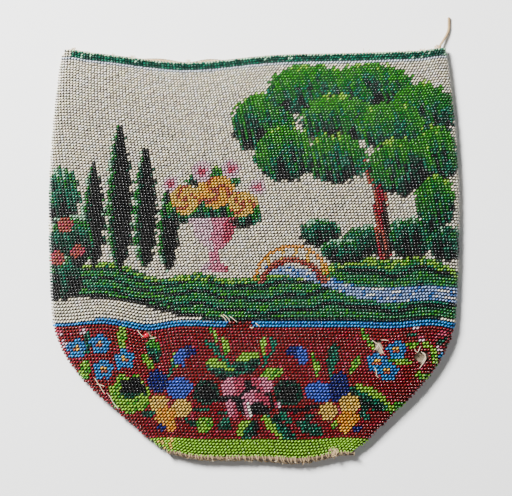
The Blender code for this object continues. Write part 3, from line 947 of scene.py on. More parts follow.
RIGHT_PANSY = (
    ((25.6, 28.0), (5.5, 4.0), -8, "cobalt", "cobalt"),
    ((33.4, 29.8), (4.0, 6.0), -6, "navy", "navy"),
    ((37.4, 23.4), (4.0, 3.8), 0, "straw", "gold"),
    ((29.2, 20.3), (3.8, 3.6), 0, "straw", "straw"),
    ((37.0, 17.6), (4.6, 3.0), 0, "orange", "gold"),
    ((35.9, 13.7), (2.1, 2.2), 0, "orange", "gold"),
    ((40.4, 13.4), (2.0, 1.2), 0, "navy", "navy"),
    ((31.6, 15.0), (1.3, 1.6), 0, "lime", "grass"),
    ((33.7, 20.9), (1.0, 1.6), 0, "rose", "rose"),
)
TWO_TONE_LEAVES = (
    ((-39.1, 44.4), (2.4, 5.2), 14, "grass", 60),
    ((-12.4, 36.4), (7.2, 3.2), -28, "lime", 80),
    ((-2.6, 39.4), (5.6, 4.2), 36, "lime", 100),
    ((-2.2, 13.4), (4.4, 3.6), 30, "lime", 150),
    ((9.8, 13.6), (8.2, 2.8), -38, "lime", 215),
    ((45.5, 25.6), (8.6, 3.8), -30, "lime", 62),
    ((-15.0, 45.0), (3.0, 1.2), -52, "sea", 90),
)


def leaf_with_light(glass, across, height, luck, middle, reach, turn, light, side):
    """A leaf that is pale along one side, given by a bearing, and dark over the rest."""
    inside = oval(across, height, middle, reach, turn) < 1
    bearing = math.radians(side)
    toward = (across - middle[0]) * math.cos(bearing) + (height - middle[1]) * math.sin(bearing)
    toward /= min(reach)
    dark = np.where(luck[0] < 0.55, "pine", "sea").astype("U12")
    dark[(toward < -0.35) & (luck[1] < 0.7)] = "jet"
    two_tone(glass, inside, toward > 0.22, light, dark)


def pansy(glass, across, height, luck, petals):
    """Two blue upper petals, two pale ones beside a dark eye and an orange lower one."""
    for middle, reach, turn, light, dark in petals:
        inside = oval(across, height, middle, reach, turn) < 1
        two_tone(glass, inside, luck[0] < 0.72, light, dark)


def paint_flowers(across, height, luck, front):
    """The whole posy on its maroon ground."""
    glass = np.where(luck[0] < 0.8, "maroon", "garnet").astype("U12")
    glass[luck[2] < 0.012] = "rose"
    for leaf in DARK_LEAVES:
        two_tone(glass, oval(across, height, *leaf) < 1, luck[1] < 0.6, "pine", "sea")
    for leaf in TWO_TONE_LEAVES:
        leaf_with_light(glass, across, height, luck, *leaf)
    for leaf in LIME_LEAVES:
        two_tone(glass, oval(across, height, *leaf) < 1, luck[1] < 0.7, "lime", "grass")

    # The broad leaf at the left, notched and pale-edged
    notch = 0.10 * np.sin(7 * np.arctan2(height - 27.0, across + 48.6))
    whole = oval(across, height, (-48.6, 27.0), (8.0, 7.6), -20) < 1 + notch
    two_tone(glass, whole, luck[1] < 0.75, "lime", "grass")
    heart = oval(across, height, (-47.2, 28.6), (5.4, 4.8), -30) < 1 + notch
    vein = off_line(across, height, (-44, 26), (-52, 22)) < 1.2
    two_tone(glass, heart & ~vein, height > 28, "jet", "pine")

    # Stems, a bud above the rose and a blue one at each side of it
    for stem in STEMS:
        glass[off_line(across, height, *stem) < 0.8] = "sea"
    bud = oval(across, height, (5.4, 46.0), (3.3, 4.0)) < 1
    glass[bud] = shaded(across, ("lime", 4.6, "garnet", 6.6, "sea"))[bud]
    for middle, side in BLUE_BUDS:
        hollow = (middle[0] + 2.4 * side, middle[1] - 2.6)
        petal = oval(across, height, middle, (4.6, 3.6), 30 * side) < 1
        petal &= oval(across, height, hollow, (3.2, 2.4), 30 * side) > 1
        two_tone(glass, petal, (across - middle[0]) * side < 0, "cobalt", "navy")

    # Round dark leaves behind the rose, then its petals with shadow between them
    for leaf in ROUND_LEAVES:
        away = oval(across, height, *leaf)
        two_tone(glass, away < 1, away + 0.6 * (luck[0] - 0.5) < 0.72, "jet", "pine")
    glass[oval(across, height, (-1.8, 26.0), (9.5, 6.5)) < 1] = "jet"
    for shadow in ROSE_SHADOWS:
        glass[off_line(across, height, *shadow) < 0.75] = "jet"
    for middle, reach, turn, side in ROSE_PETALS:
        petal = oval(across, height, middle, reach, turn) < 1
        light = side * (middle[0] - across) / reach[0] + 0.7 * (luck[0] - 0.5)
        glass[petal] = shaded(light, ("rose", -0.10, "pink", 1.05, "blush"))[petal]
    glass[oval(across, height, (2.2, 21.4), (4.2, 2.3), -8) < 1] = "jet"
    glass[off_line(across, height, (-2.4, 23.4), (-1.7, 18.3)) < 0.6] = "chalk"

    pansy(glass, across, height, luck, LEFT_PANSY)
    pansy(glass, across, height, luck, RIGHT_PANSY)

    # Forget-me-nots: five petals round a yellow and brown eye
    for middle in FORGET_ME_NOTS:
        for petal in range(5):
            bearing = math.radians(90 + 72 * petal)
            east, north = PETAL_CIRCLE * math.cos(bearing), PETAL_CIRCLE * math.sin(bearing)
            away = oval(across, height, (middle[0] + east, middle[1] + north), (PETAL_REACH, PETAL_REACH))
            two_tone(glass, away < 1, luck[0] < 0.8, "sky", "cornflower")
        eye_spot = oval(across, height, middle, (1.5, 1.3)) < 1
        two_tone(glass, eye_spot, height > middle[1] - 0.2, "gold", "brick")

    # Small pink flowers near both edges
    for middle in PINK_FLOWERS:
        two_tone(glass, oval(across, height, middle, (1.7, 1.3)) < 1, luck[1] < 0.4, "rose", "blush")
    glass[oval(across, height, (73.4, 41.8), (1.6, 1.2)) < 1] = "sky"
    return glass


def tapered_rows(heights):
    """Below the hip the knitter drops stitches along both slanted edges, so each wall keeps its
    own straight columns and the edges cut them off."""
    rows = []
    for height in heights:
        run, across, _, _ = loop_at(height)
        length = run[-1]
        right = run[np.argmax(across)]
        left = run[np.argmin(across)]
        shift = -height * COLUMN_SLOPE
        count = int(length / TAPER_PITCH)
        steps = np.arange(-count, count + 1) * TAPER_PITCH
        room = EDGE_ROOM * TAPER_PITCH
        front = steps + shift % TAPER_PITCH
        front = front[(front < right - room) & (front > left - length + room)]
        back = (right + left) / 2 + steps - shift % TAPER_PITCH
        back = back[(back > right + room) & (back < left - room)]
        rows.append((height, np.concatenate([front, back]) % length / length))
    return rows


flower_pitch = (FLOWER_TOP - FLOWER_FOOT) / FLOWER_ROWS
flower_rows = tapered_rows(FLOWER_FOOT + flower_pitch * (np.arange(FLOWER_ROWS) + 0.5))
flower_beads = knit(flower_rows, flower_pitch, paint_flowers, 6)
WORN_SPOTS = (((-41.5, 50.0), 1.5), ((48.3, 46.0), 1.9), ((49.3, 44.3), 1.3), ((65.6, 41.4), 2.4))
flower_height = (flower_beads["place"][:, 1] + TIP_HEIGHT / 2) / MM
for spot, reach in WORN_SPOTS:
    away = np.hypot(flower_beads["place"][:, 0] / MM - spot[0], flower_height - spot[1])
    kept = (away > reach) | ~flower_beads["front"]
    flower_beads = {part: values[kept] for part, values in flower_beads.items()}
    flower_height = flower_height[kept]
string_band("flower_band", flower_beads, clear_glass, "taper_fold", open_lower)

# The base band: six rows of lime green beads, the last that were knitted.
BASE_ROWS = 6
BASE_TOP = 0.0095
base_pitch = (BASE_TOP - PANEL_FOOT) / BASE_ROWS


def paint_base(across, height, luck, front):
    """Lime throughout, with a few straw beads at the left end."""
    glass = np.full(len(across), "lime", dtype="U12")
    glass[(luck[1] < 0.30) & (across < -31)] = "straw"
    return glass


base_rows = tapered_rows(PANEL_FOOT + base_pitch * (np.arange(BASE_ROWS) + 0.5))
base_beads = knit(base_rows, base_pitch, paint_base, 7)
string_band("base_band", base_beads, clear_glass, "taper_fold", open_lower)

# The knitting behind the beads, drawn tight, so that only its gaps between the beads show. It is
# coloured near black as painted shade in those gaps, with a share of each bead's colour as a painted
# reflection from the beads. The worn holes go through the front's knitting too.
BACKING_DEPTH = 0.42 * MM
BACKING_THICKNESS = 0.14 * MM
# Painted shade and reflection: the knitting's near-black colour, and the share of the bead colours mixed into
# it.
PAINTED_GAP_SHADE = np.array((0.008, 0.007, 0.006))
PAINTED_REFLECTION_SHARE = 0.09
STITCH_SCALE = 900
HOLE_MARGIN = 0.2
BLUE_TOP = 55.7
HALF_FLAT_WIDTH, WHOLE_FLAT_WIDTH = 0.082, 0.160
FLAT_ALLOWANCE = 0.001


def relief(made, height, strength, depth):
    """Fine relief that isn't in the mesh, with its depth in metres."""
    sockets = {"Height": height, "Strength": strength, "Distance": depth}
    return add_node(made, "Bump", sockets).outputs["Normal"]


def shaped_piece(name, bm, finish, smooth=True):
    """A modelled shape as a piece, with its faces turned outwards."""
    bmesh.ops.recalc_face_normals(bm, faces=bm.faces)
    mesh = bpy.data.meshes.new(name)
    bm.to_mesh(mesh)
    bm.free()
    if smooth:
        mesh.shade_smooth()
    return place_piece(name, mesh, finish)


def row_share(height, mark):
    """The share of a row's way at a mark: 0 and 1 are its start and end at the front's middle, and
    at "left" and "right" the front's panel ends."""
    if mark in (0, 1):
        return mark
    side = 1 if mark == "right" else -1
    run, across, _, _ = loop_at(height)
    end = lean(height) + side * (half_width(height) - (FOLD_WIDTH + CLEARANCE / 2) * slant(height))
    part = slice(0, LOOP_STEPS) if side > 0 else slice(3 * (LOOP_STEPS - 1), None)
    order = np.argsort(across[part])
    return np.interp(end, across[part][order], run[part][order]) / run[-1]


def in_worn_spot(face):
    """Whether a face of the knitting lies in a worn hole."""
    centre = face.calc_center_median()
    across, height = centre.x / MM, (centre.y + TIP_HEIGHT / 2) / MM
    return any(math.hypot(across - x, height - y) - reach < HOLE_MARGIN for (x, y), reach in WORN_SPOTS)


def backing_piece(name, low, high, first, last, paint, columns, rows):
    """A stretch of the knitting as a thin closed sheet in painted shade, with a painted reflection of the
    glass that it carries.
    """
    front = name.startswith("front")
    bm = bmesh.new()
    bmesh.ops.create_grid(bm, x_segments=columns, y_segments=rows, size=1)
    bm.verts.ensure_lookup_table()
    grid = np.array([corner.co[:2] for corner in bm.verts]) / 2 + 0.5
    points = np.zeros((len(grid), 3))
    for rise in np.unique(grid[:, 1].round(6)):
        row = np.abs(grid[:, 1] - rise) < 1e-5
        height = low + (high - low) * rise
        start, end = row_share(height, first), row_share(height, last)
        at, _, _, outward, _ = fabric_at((start + (end - start) * grid[row, 0]) % 1, height)
        points[row] = at - outward * BACKING_DEPTH
    for corner, point in zip(bm.verts, points):
        corner.co = point
    across, height = points[:, 0] / MM, (points[:, 1] + TIP_HEIGHT / 2) / MM
    luck = np.random.default_rng(11).random((3, len(grid)))
    glass = tints(paint(across, height, luck, front))
    # Each point: near-black painted shade, plus a share of its bead's colour as a painted reflection.
    colour = bm.verts.layers.float_color.new("painted_gap_shade_colour")
    for corner, tint in zip(bm.verts, glass * PAINTED_REFLECTION_SHARE + PAINTED_GAP_SHADE):
        corner[colour] = (*tint, 1)
    if front:
        bmesh.ops.delete(bm, geom=[face for face in bm.faces if in_worn_spot(face)], context="FACES")
    bmesh.ops.recalc_face_normals(bm, faces=bm.faces)
    knitted_area = sum(face.calc_area() for face in bm.faces)
    bmesh.ops.solidify(bm, geom=bm.faces[:], thickness=BACKING_THICKNESS)
    return shaped_piece(name, bm, backing_in_painted_shade), float(knitted_area)


# The knitting's material shows the painted shade and reflection that each point carries.
backing_in_painted_shade, shader, place = new_finish("knitting_thread_in_painted_shade")
painted_gap_shade_tint = add_node(backing_in_painted_shade, "Attribute", {}, attribute_name="painted_gap_shade_colour").outputs["Color"]
cells = {"Vector": place, "Scale": STITCH_SCALE}
stitches = add_node(backing_in_painted_shade, "TexVoronoi", cells).outputs["Distance"]
knitted = relief(backing_in_painted_shade, stitches, 0.5, 0.0003)
set_sockets(backing_in_painted_shade, shader, {"Base Color": painted_gap_shade_tint, "Roughness": 0.95, "Normal": knitted})


def paint_upper(across, height, luck, front):
    """The stripe, picture and rim together."""
    glass = paint_picture(across, height, luck, front)
    glass[height < BLUE_TOP] = paint_stripe(across, height, luck, front)[height < BLUE_TOP]
    glass[height > (RIM_FOOT - mouth_drop(across * MM, front)) / MM] = "teal"
    return glass


def paint_lower(across, height, luck, front):
    """The flowers and the base band together."""
    flowers = paint_flowers(across, height, luck, front)
    return np.where(height < FLOWER_FOOT / MM, paint_base(across, height, luck, front), flowers)


def knit_backing(wall, part, half, span, first, last, paint, size, bands):
    """The knitting of one wall or half wall, with the bead bands that it carries."""
    mark = f"_{half}" if half else ""
    columns, rows, *flat = size
    piece, area = backing_piece(f"{wall}_{part}_knitting{mark}", *span, first, last, paint, columns, rows)
    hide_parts(*(f"{wall}_{band}" for band in bands))
    return piece


UPPER_BANDS = ("rim_band", "picture_field", "blue_stripe")
LOWER_BANDS = ("flower_band", "base_band")
for part, span, paint, opening, bands, rows in (
    ("upper", (FLOWER_TOP, RIM_TOP), paint_upper, open_upper, UPPER_BANDS, 90),
    ("lower", (PANEL_FOOT, FLOWER_TOP), paint_lower, open_lower, LOWER_BANDS, 40),
):
    length = span[1] - span[0] + FLAT_ALLOWANCE
    half, whole = (56, rows, HALF_FLAT_WIDTH, length), (124, rows, WHOLE_FLAT_WIDTH, length)
    opening(knit_backing("front", part, "right", span, 0, "right", paint, half, bands), 1)
    opening(knit_backing("front", part, "left", span, "left", 1, paint, half, bands), -1)
    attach(knit_backing("back", part, "", span, "right", "left", paint, whole, bands), "back_wall")

# The lining: tan cotton in plain weave, one shape against each wall, cut a little smaller than
# the wall and caught in the edging at the mouth. The front one is in four parts, which meet
# edge to edge.
LINING_MARGIN = 0.0030
LINING_FOOT = 0.0058
LINING_TOP_DROP = 0.0013
WEAVE_PITCH = 0.00042
MOUTH_HALF_WIDTH = BELLY_HALF_WIDTH - MOUTH_NARROWING
CLEAN_LINING, STAINED_LINING = (0.52, 0.41, 0.27, 1), (0.34, 0.25, 0.15, 1)
STAIN_SCALE = 60
RADIANS_PER_BAND_SCALE = 20

lining_cotton, shader, place = new_finish("tan_cotton")
band_scale = math.tau / RADIANS_PER_BAND_SCALE / WEAVE_PITCH
bands = {"Vector": place, "Scale": band_scale, "Distortion": 0.6, "Detail Scale": 3}
threads = [
    add_node(lining_cotton, "TexWave", bands, wave_type="BANDS", bands_direction=way).outputs["Fac"]
    for way in ("X", "Y")
]
crossing = add_node(lining_cotton, "Math", dict(enumerate(threads)), operation="MULTIPLY").outputs["Value"]
stained = mixed(lining_cotton, patches_of(lining_cotton, place, STAIN_SCALE, 6), CLEAN_LINING, STAINED_LINING)
looks = {
    "Base Color": mixed(lining_cotton, 0.5, stained, crossing, "MULTIPLY"),
    "Normal": relief(lining_cotton, crossing, 0.6, 0.0002),
    "Roughness": 0.9,
    "Sheen Weight": 0.15,
}
set_sockets(lining_cotton, shader, looks)


def flat_lift(across, height):
    """The back wall lies flat."""
    return 0


def lining_cut(name, level, lift, front, low, high, left, right, columns, rows):
    """A shape of cloth between two heights, None for the mouth's edge, and two shares of the
    lining's half-width."""
    bm = bmesh.new()
    bmesh.ops.create_grid(bm, x_segments=columns, y_segments=rows, size=1)
    for corner in bm.verts:
        share = left + (right - left) * (corner.co.x + 1) / 2
        top = high or MOUTH_HEIGHT - LINING_TOP_DROP - mouth_drop(share * MOUTH_HALF_WIDTH, front)
        height = low + (top - low) * (corner.co.y + 1) / 2
        reach = half_width(height) - (FOLD_WIDTH + CLEARANCE + LINING_MARGIN) * slant(height)
        across = lean(height) + share * reach
        corner.co = (across, height - TIP_HEIGHT / 2, level + lift(across, height))
    raised = bmesh.ops.extrude_face_region(bm, geom=bm.faces[:])
    upper_side = [item for item in raised["geom"] if isinstance(item, bmesh.types.BMVert)]
    bmesh.ops.translate(bm, verts=upper_side, vec=(0, 0, LINING_THICKNESS))
    bmesh.ops.recalc_face_normals(bm, faces=bm.faces)
    cut_area = sum(face.calc_area() for face in bm.faces) / 2
    return shaped_piece(name, bm, lining_cotton, smooth=False), float(cut_area)


back_lining, cut_area = lining_cut(
    "back_lining_cloth", BACK_LINING_LEVEL, flat_lift, False, LINING_FOOT, None, -1, 1, 48, 48
)
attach(back_lining, "back_wall")
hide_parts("back_lining")
for side_name, side in SIDES:
    for part, low, high, opening, size, rows in (
        ("lower", LINING_FOOT, OPENING_JOIN, open_lower, (0.075, 0.048), 14),
        ("upper", OPENING_JOIN, None, open_upper, (0.075, 0.108), 32),
    ):
        shape, cut_area = lining_cut(
            f"front_{part}_lining_{side_name}",
            FRONT_LINING_LEVEL,
            front_lift,
            True,
            low,
            high,
            min(side, 0),
            max(side, 0),
            28,
            rows,
        )
        opening(shape, side)
        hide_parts("front_lining")

# The mouth's edging: the lining is rolled in behind the topmost beads, and thin tan thread is
# whipped over both, a stitch to each column. Here and there the thread has broken and its ends
# stand up in tufts.
EDGING_HEIGHT = 0.0010
WALL_DEPTH = 0.00215
WHIP_PITCH = 0.00125
WHIP_RADIUS = 0.00012
ROLL_RADIUS = 0.00040
EDGING_INSET = FOLD_WIDTH + CLEARANCE
SOIL_SCALE, FIBRE_SCALE = 260, 5200


def cotton(name, clean, soiled):
    """Cotton thread that is clean in places and soiled in others."""
    made, shader, place = new_finish(name)
    looks = {
        "Base Color": mixed(made, patches_of(made, place, SOIL_SCALE, 4), (*clean, 1), (*soiled, 1)),
        "Normal": relief(made, patches_of(made, place, FIBRE_SCALE), 0.5, 0.0001),
        "Roughness": 0.85,
        "Sheen Weight": 0.1,
    }
    set_sockets(made, shader, looks)
    return made


tan_cotton_thread = cotton("tan_thread", (0.52, 0.37, 0.19), (0.20, 0.12, 0.05))
# Near-black thread for the seam's roll: painted shade in the gaps between the whip stitches.
seam_roll_painted_shade = cotton("seam_roll_painted_shade", (0.15, 0.09, 0.045), (0.06, 0.036, 0.018))
pale_thread = cotton("pale_thread", (0.74, 0.64, 0.46), (0.46, 0.34, 0.19))


def sewn(name, runs, radius, finish=tan_cotton_thread):
    """Lengths of thread as one mesh, each drawn smoothly along its points."""
    line = bpy.data.curves.new(name, "CURVE")
    line.dimensions = "3D"
    line.bevel_depth = radius
    line.bevel_resolution = 1
    line.use_fill_caps = True
    for run in runs:
        spline = line.splines.new("NURBS")
        spline.points.add(len(run) - 1)
        points = np.append(np.array(run), np.ones((len(run), 1)), axis=1)
        spline.points.foreach_set("co", points.ravel())
        spline.order_u = 3
        spline.use_endpoint_u = True
        spline.resolution_u = 2
    drawn = bpy.data.objects.new(name, line)
    mesh = bpy.data.meshes.new_from_object(drawn)
    bpy.data.objects.remove(drawn)
    bpy.data.curves.remove(line)
    bm = bmesh.new()
    bm.from_mesh(mesh)
    bpy.data.meshes.remove(mesh)
    return shaped_piece(name, bm, finish)


def rolled(name, long_steps, round_steps, place, finish=tan_cotton_thread):
    """A closed roll of cloth or thread, from a grid that is bent into a tube by place(along, round)."""
    bm = bmesh.new()
    bmesh.ops.create_grid(bm, x_segments=long_steps, y_segments=round_steps, size=1)
    for corner in bm.verts:
        corner.co = place((corner.co.x + 1) / 2, (corner.co.y + 1) / 2)
    bmesh.ops.remove_doubles(bm, verts=bm.verts, dist=0.00001)
    bmesh.ops.holes_fill(bm, edges=bm.edges)
    return shaped_piece(name, bm, finish)


def edging_middle(across, front):
    """The middle of the wall's thickness just under the mouth's edge, at a place across."""
    height = MOUTH_HEIGHT - mouth_drop(across, front) - EDGING_HEIGHT / 2
    level = FRONT_LINING_LEVEL + front_lift(across, height) if front else 0
    return Vector((across, height - TIP_HEIGHT / 2, level + WALL_DEPTH / 2))


def edge_of_mouth(name, left, right, front, luck):
    """The roll and its whip stitches between two places across the mouth."""
    inward_shift = (WALL_DEPTH - LINING_THICKNESS) / 2 * (-1 if front else 1)

    def round_the_roll(along, turn):
        """A point on the rolled edge, which is plump and thin by turns."""
        across = left + (right - left) * along
        angle = math.tau * turn
        plump = ROLL_RADIUS * (1 + 0.12 * math.sin(across * 2000) * math.cos(angle))
        aside = Vector((0, plump * math.cos(angle), inward_shift + plump * math.sin(angle)))
        return edging_middle(across, front) + aside - Vector((0, ROLL_RADIUS, 0))

    roll = rolled(f"{name}_edging_roll", round((right - left) / 0.0009), 10, round_the_roll)
    stitch_count = int((right - left) / WHIP_PITCH)
    runs = []
    for stitch in range(stitch_count):
        start = left + (right - left) * (stitch + 0.5) / stitch_count + luck.normal(0, 0.00012)
        slope, tight = 0.0011 + luck.normal(0, 0.0002), 1 + luck.normal(0, 0.07)
        run = []
        for step in range(9):
            angle = math.radians(-125 + step * 250 / 8)
            across = min(max(start + slope * (step / 8 - 0.5), left + WHIP_RADIUS), right - WHIP_RADIUS)
            middle = edging_middle(across, front)
            tall = (EDGING_HEIGHT / 2 - WHIP_RADIUS / 2) * tight
            deep = (WALL_DEPTH / 2 - WHIP_RADIUS / 2) * tight
            run.append(middle + Vector((0, tall * math.cos(angle), deep * math.sin(angle))))
        runs.append(run)
    return roll, sewn(f"{name}_whip_stitches", runs, WHIP_RADIUS, pale_thread)


stitch_luck = np.random.default_rng(21)
edge_reach = MOUTH_HALF_WIDTH - EDGING_INSET
for piece in edge_of_mouth("back_mouth", -edge_reach, edge_reach, False, stitch_luck):
    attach(piece, "back_wall")
    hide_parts("back_mouth_edging")
for side_name, side in SIDES:
    ends = sorted((0, side * edge_reach))
    for piece in edge_of_mouth(f"front_mouth_{side_name}", *ends, True, stitch_luck):
        open_upper(piece, side)
        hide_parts("front_mouth_edging")

# Tufts of broken thread on the mouth's edge: a place across, a number of fibres and a length.
TUFTS = (
    (-71.2, 9, 1.6),
    (-66.0, 4, 1.0),
    (-55.2, 8, 1.9),
    (-47.4, 9, 1.7),
    (-25.9, 7, 1.5),
    (8.0, 3, 0.9),
    (31.0, 3, 0.9),
    (44.7, 3, 2.4),
    (56.7, 9, 1.5),
    (60.3, 7, 1.8),
    (66.1, 8, 1.6),
    (72.0, 9, 1.9),
)
fibre_runs = []
for across, count, length in TUFTS:
    root = edging_middle(across * MM, False)
    for _ in range(count):
        aim = stitch_luck.normal(0, 0.55)
        reach = length * MM * stitch_luck.uniform(0.55, 1.0)
        curl = stitch_luck.normal(0, 0.35)
        base = root + Vector((stitch_luck.normal(0, 0.0006), 0.0001, stitch_luck.uniform(-0.0002, 0.0009)))
        run = []
        for step in range(5):
            share = step / 4
            bend = aim + curl * share
            run.append(base + Vector((math.sin(bend), math.cos(bend), 0.15 * share)) * reach * share)
        fibre_runs.append(run)
tufts = sewn("mouth_edge_tufts", fibre_runs, 0.00013, pale_thread)
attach(tufts, "back_wall")
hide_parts("back_mouth_edging")

# The base seam: the two walls' last rows are whipped together over their edges with tan thread,
# close, slanted and uneven. It is thickest right of the middle and ends at the right in a tangle.
SEAM_STITCHES = 88
SEAM_THREAD_RADIUS = 0.00017
SEAM_ROLL_SHARE = 0.78


def seam_depth(across):
    """How far the seam stands out below the beads."""
    thick = humps(across, ((1, 14, 14),))
    end = np.abs((across - BASE_LEAN) / half_width(PANEL_FOOT))
    return (0.0013 + 0.0008 * thick) * (1 - 0.55 * end**8)


def seam_point(across, angle, slack=1.0):
    """A point on the seam's half-round, from the front wall at 90 degrees to the back at -90."""
    depth = seam_depth(across) * slack
    foot = PANEL_FOOT + wander(across, 0.0015) - TIP_HEIGHT / 2 - 0.0002
    middle = EDGE_HEIGHT / 2
    rise = (middle - SEAM_THREAD_RADIUS) * math.sin(math.radians(angle))
    return Vector((across, foot - depth * math.cos(math.radians(angle)), middle + rise))


seam_left = BASE_LEAN - half_width(PANEL_FOOT) + 0.0006
seam_right = BASE_LEAN + half_width(PANEL_FOOT) - 0.0006


def round_the_seam(along, turn):
    """A point on the roll under the stitches: half round below, and flat against the beads."""
    across = seam_left + (seam_right - seam_left) * along
    if turn <= 0.5:
        return seam_point(across, 180 * (0.5 - 2 * turn), SEAM_ROLL_SHARE)
    inner = seam_point(across, 90 - 180 * (2 - 2 * turn), SEAM_ROLL_SHARE)
    return Vector((inner.x, seam_point(across, 90).y + 0.0002, inner.z))


# The roll is coloured near black as painted shade between the stitches.
seam_roll = rolled("base_seam_roll", 70, 16, round_the_seam, seam_roll_painted_shade)
runs = []
for stitch in range(SEAM_STITCHES):
    start = seam_left + (seam_right - seam_left) * (stitch + 0.5) / SEAM_STITCHES
    start += stitch_luck.normal(0, 0.00025)
    slope = (0.0034 if stitch % 3 else -0.0014) + stitch_luck.normal(0, 0.0008)
    slack = 1 + stitch_luck.normal(0, 0.10)
    bite = 0.0005 + stitch_luck.uniform(0, 0.0006)
    run = []
    for step in range(11):
        across = float(np.clip(start + slope * (step / 10 - 0.5), seam_left, seam_right))
        angle = 90 - 18 * step
        point = seam_point(across, angle, slack)
        if step in (0, 10):
            point.y += bite
        run.append(point)
    runs.append(run)
seam_stitches = sewn("base_seam_stitches", runs, SEAM_THREAD_RADIUS)
for piece in (seam_roll, seam_stitches):
    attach(piece, "back_wall")
    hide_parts("base_seam")

# The tangle at the seam's right end, and stray ends of thread along the seam
TANGLE_PLACE = (0.0318, 0.0040)
TANGLE_STEP = 0.0005
knot_middle = Vector((TANGLE_PLACE[0], TANGLE_PLACE[1] - TIP_HEIGHT / 2, EDGE_HEIGHT - 0.0002))
runs = []
for _ in range(14):
    way = stitch_luck.uniform(0, math.tau)
    aside = [stitch_luck.normal(0, spread) for spread in (0.0006, 0.0006, 0.0002)]
    point = knot_middle + Vector(aside)
    run = []
    for _ in range(7):
        run.append(point)
        way += stitch_luck.normal(0.5, 0.9)
        rise = stitch_luck.normal(0, 0.00012)
        point = point + Vector((TANGLE_STEP * math.cos(way), TANGLE_STEP * math.sin(way), rise))
    runs.append(run)
tangle = sewn("base_seam_tangle", runs, 0.00016)
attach(tangle, "back_wall")
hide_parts("base_seam")
runs = []
for _ in range(16):
    across = stitch_luck.uniform(seam_left + 0.002, seam_right - 0.002)
    start = seam_point(across, stitch_luck.uniform(-20, 60), 1.0)
    way = stitch_luck.normal(0, 0.6)
    reach = stitch_luck.uniform(0.0006, 0.0013)
    aim = Vector((math.sin(way), -math.cos(way) * 0.6, 0.1)) * reach
    runs.append([start + aim * share for share in (0, 0.4, 0.8, 1.0)])
seam_ends = sewn("base_seam_loose_ends", runs, 0.00013, pale_thread)
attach(seam_ends, "back_wall")
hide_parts("base_seam")

# The red bead: one larger bead of clear red glass, sewn on over a worn place with tan thread.
red_low, red_high = (Vector(corner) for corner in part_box("red_bead"))
RED_BEAD_RADIUS = 0.0012
RED_BEAD_BORE = 0.00035
RED_BEAD_LENGTH = 0.0019
RED_BEAD_TILT = math.radians(35)
RED_SWIRL_SCALE = 900

red_glass, shader, place = new_finish("red_glass")
swirl = patches_of(red_glass, place, RED_SWIRL_SCALE)
looks = {
    "Base Color": mixed(red_glass, swirl, (0.62, 0.006, 0.035, 1), (0.40, 0.002, 0.016, 1)),
    "Roughness": 0.06,
    "IOR": OPAQUE_BENDING,
    "Transmission Weight": 0.35,
}
set_sockets(red_glass, shader, looks)

bm = bmesh.new()
ring = []
for step in range(15):
    turn = math.pi * (step / 14 - 0.5)
    out = RED_BEAD_BORE + (RED_BEAD_RADIUS - RED_BEAD_BORE) * math.cos(turn) ** 0.8
    ring.append(bm.verts.new((out, 0, RED_BEAD_LENGTH / 2 * math.sin(turn))))
edges = [bm.edges.new(pair) for pair in zip(ring, ring[1:] + ring[:1])]
bmesh.ops.spin(bm, geom=edges, cent=(0, 0, 0), axis=(0, 0, 1), angle=math.tau, steps=28, use_merge=True)
turn = Matrix.Rotation(RED_BEAD_TILT, 4, "Z") @ Matrix.Rotation(math.pi / 2, 4, "X")
bmesh.ops.transform(bm, matrix=Matrix.Translation((red_low + red_high) / 2) @ turn, verts=bm.verts)
large_bead = shaped_piece("large_red_bead", bm, red_glass)
open_lower(large_bead, -1)
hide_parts("red_bead")

# The loose thread: an end of two-ply cotton, left where the edging was finished off at the
# mouth's right corner. It droops to the table and has frayed at its tip.
PLY_RADIUS = 0.00033
PLY_TWIST = 0.0015
THREAD_START_INSET = 0.0027
THREAD_BOW = 0.0038


def thread_middle(share):
    """The loose thread's own line, from the mouth's corner to its tip."""
    foot = MOUTH_HEIGHT + 0.0010
    bow = THREAD_BOW * math.sin(math.pi / 2 * min(share / 0.7, 1)) ** 1.3
    height = foot + (TIP_HEIGHT - foot) * share
    level = 2 * PLY_RADIUS + (EDGE_HEIGHT / 2 - 2 * PLY_RADIUS) * (1 - share) ** 3
    return Vector((MOUTH_HALF_WIDTH - THREAD_START_INSET + bow, height - TIP_HEIGHT / 2, level))


runs = []
for ply in range(2):
    run = []
    for step in range(61):
        share = step / 60 * 0.97
        angle = math.tau * share * 0.0135 / PLY_TWIST + math.pi * ply
        aside = Vector((math.cos(angle), 0, math.sin(angle))) * PLY_RADIUS * 0.9
        run.append(thread_middle(share) + aside)
    runs.append(run)
loose_plies = sewn("loose_thread_plies", runs, PLY_RADIUS)
runs = []
for _ in range(7):
    way = stitch_luck.normal(0, 0.45)
    start = thread_middle(0.9)
    reach = (thread_middle(1.0) - start).length * stitch_luck.uniform(0.7, 1.0)
    run = []
    for share in (0, 0.35, 0.7, 1.0):
        run.append(start + Vector((math.sin(way * share), math.cos(way * share), 0)) * reach * share)
    runs.append(run)
frayed_tip = sewn("loose_thread_frayed_tip", runs, 0.00007)
for piece in (loose_plies, frayed_tip):
    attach(piece, "back_wall")
    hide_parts("loose_thread")

# Broken threads on the front: torn knitting at the worn holes and where the blue stripe is gone,
# the thread that holds the red bead, and stray thread along the left taper.
PALE_STRAY = 0.00012


def over_front(across, height, rise):
    """A point over the front wall, by millimetres across, up and above the beads' middle."""
    across, height = across * MM, height * MM
    level = FRONT_BEAD_LEVEL + BEAD_LAYER / 2 + front_lift(across, height) + rise * MM
    return Vector((across, height + wander(across, height) - TIP_HEIGHT / 2, level))


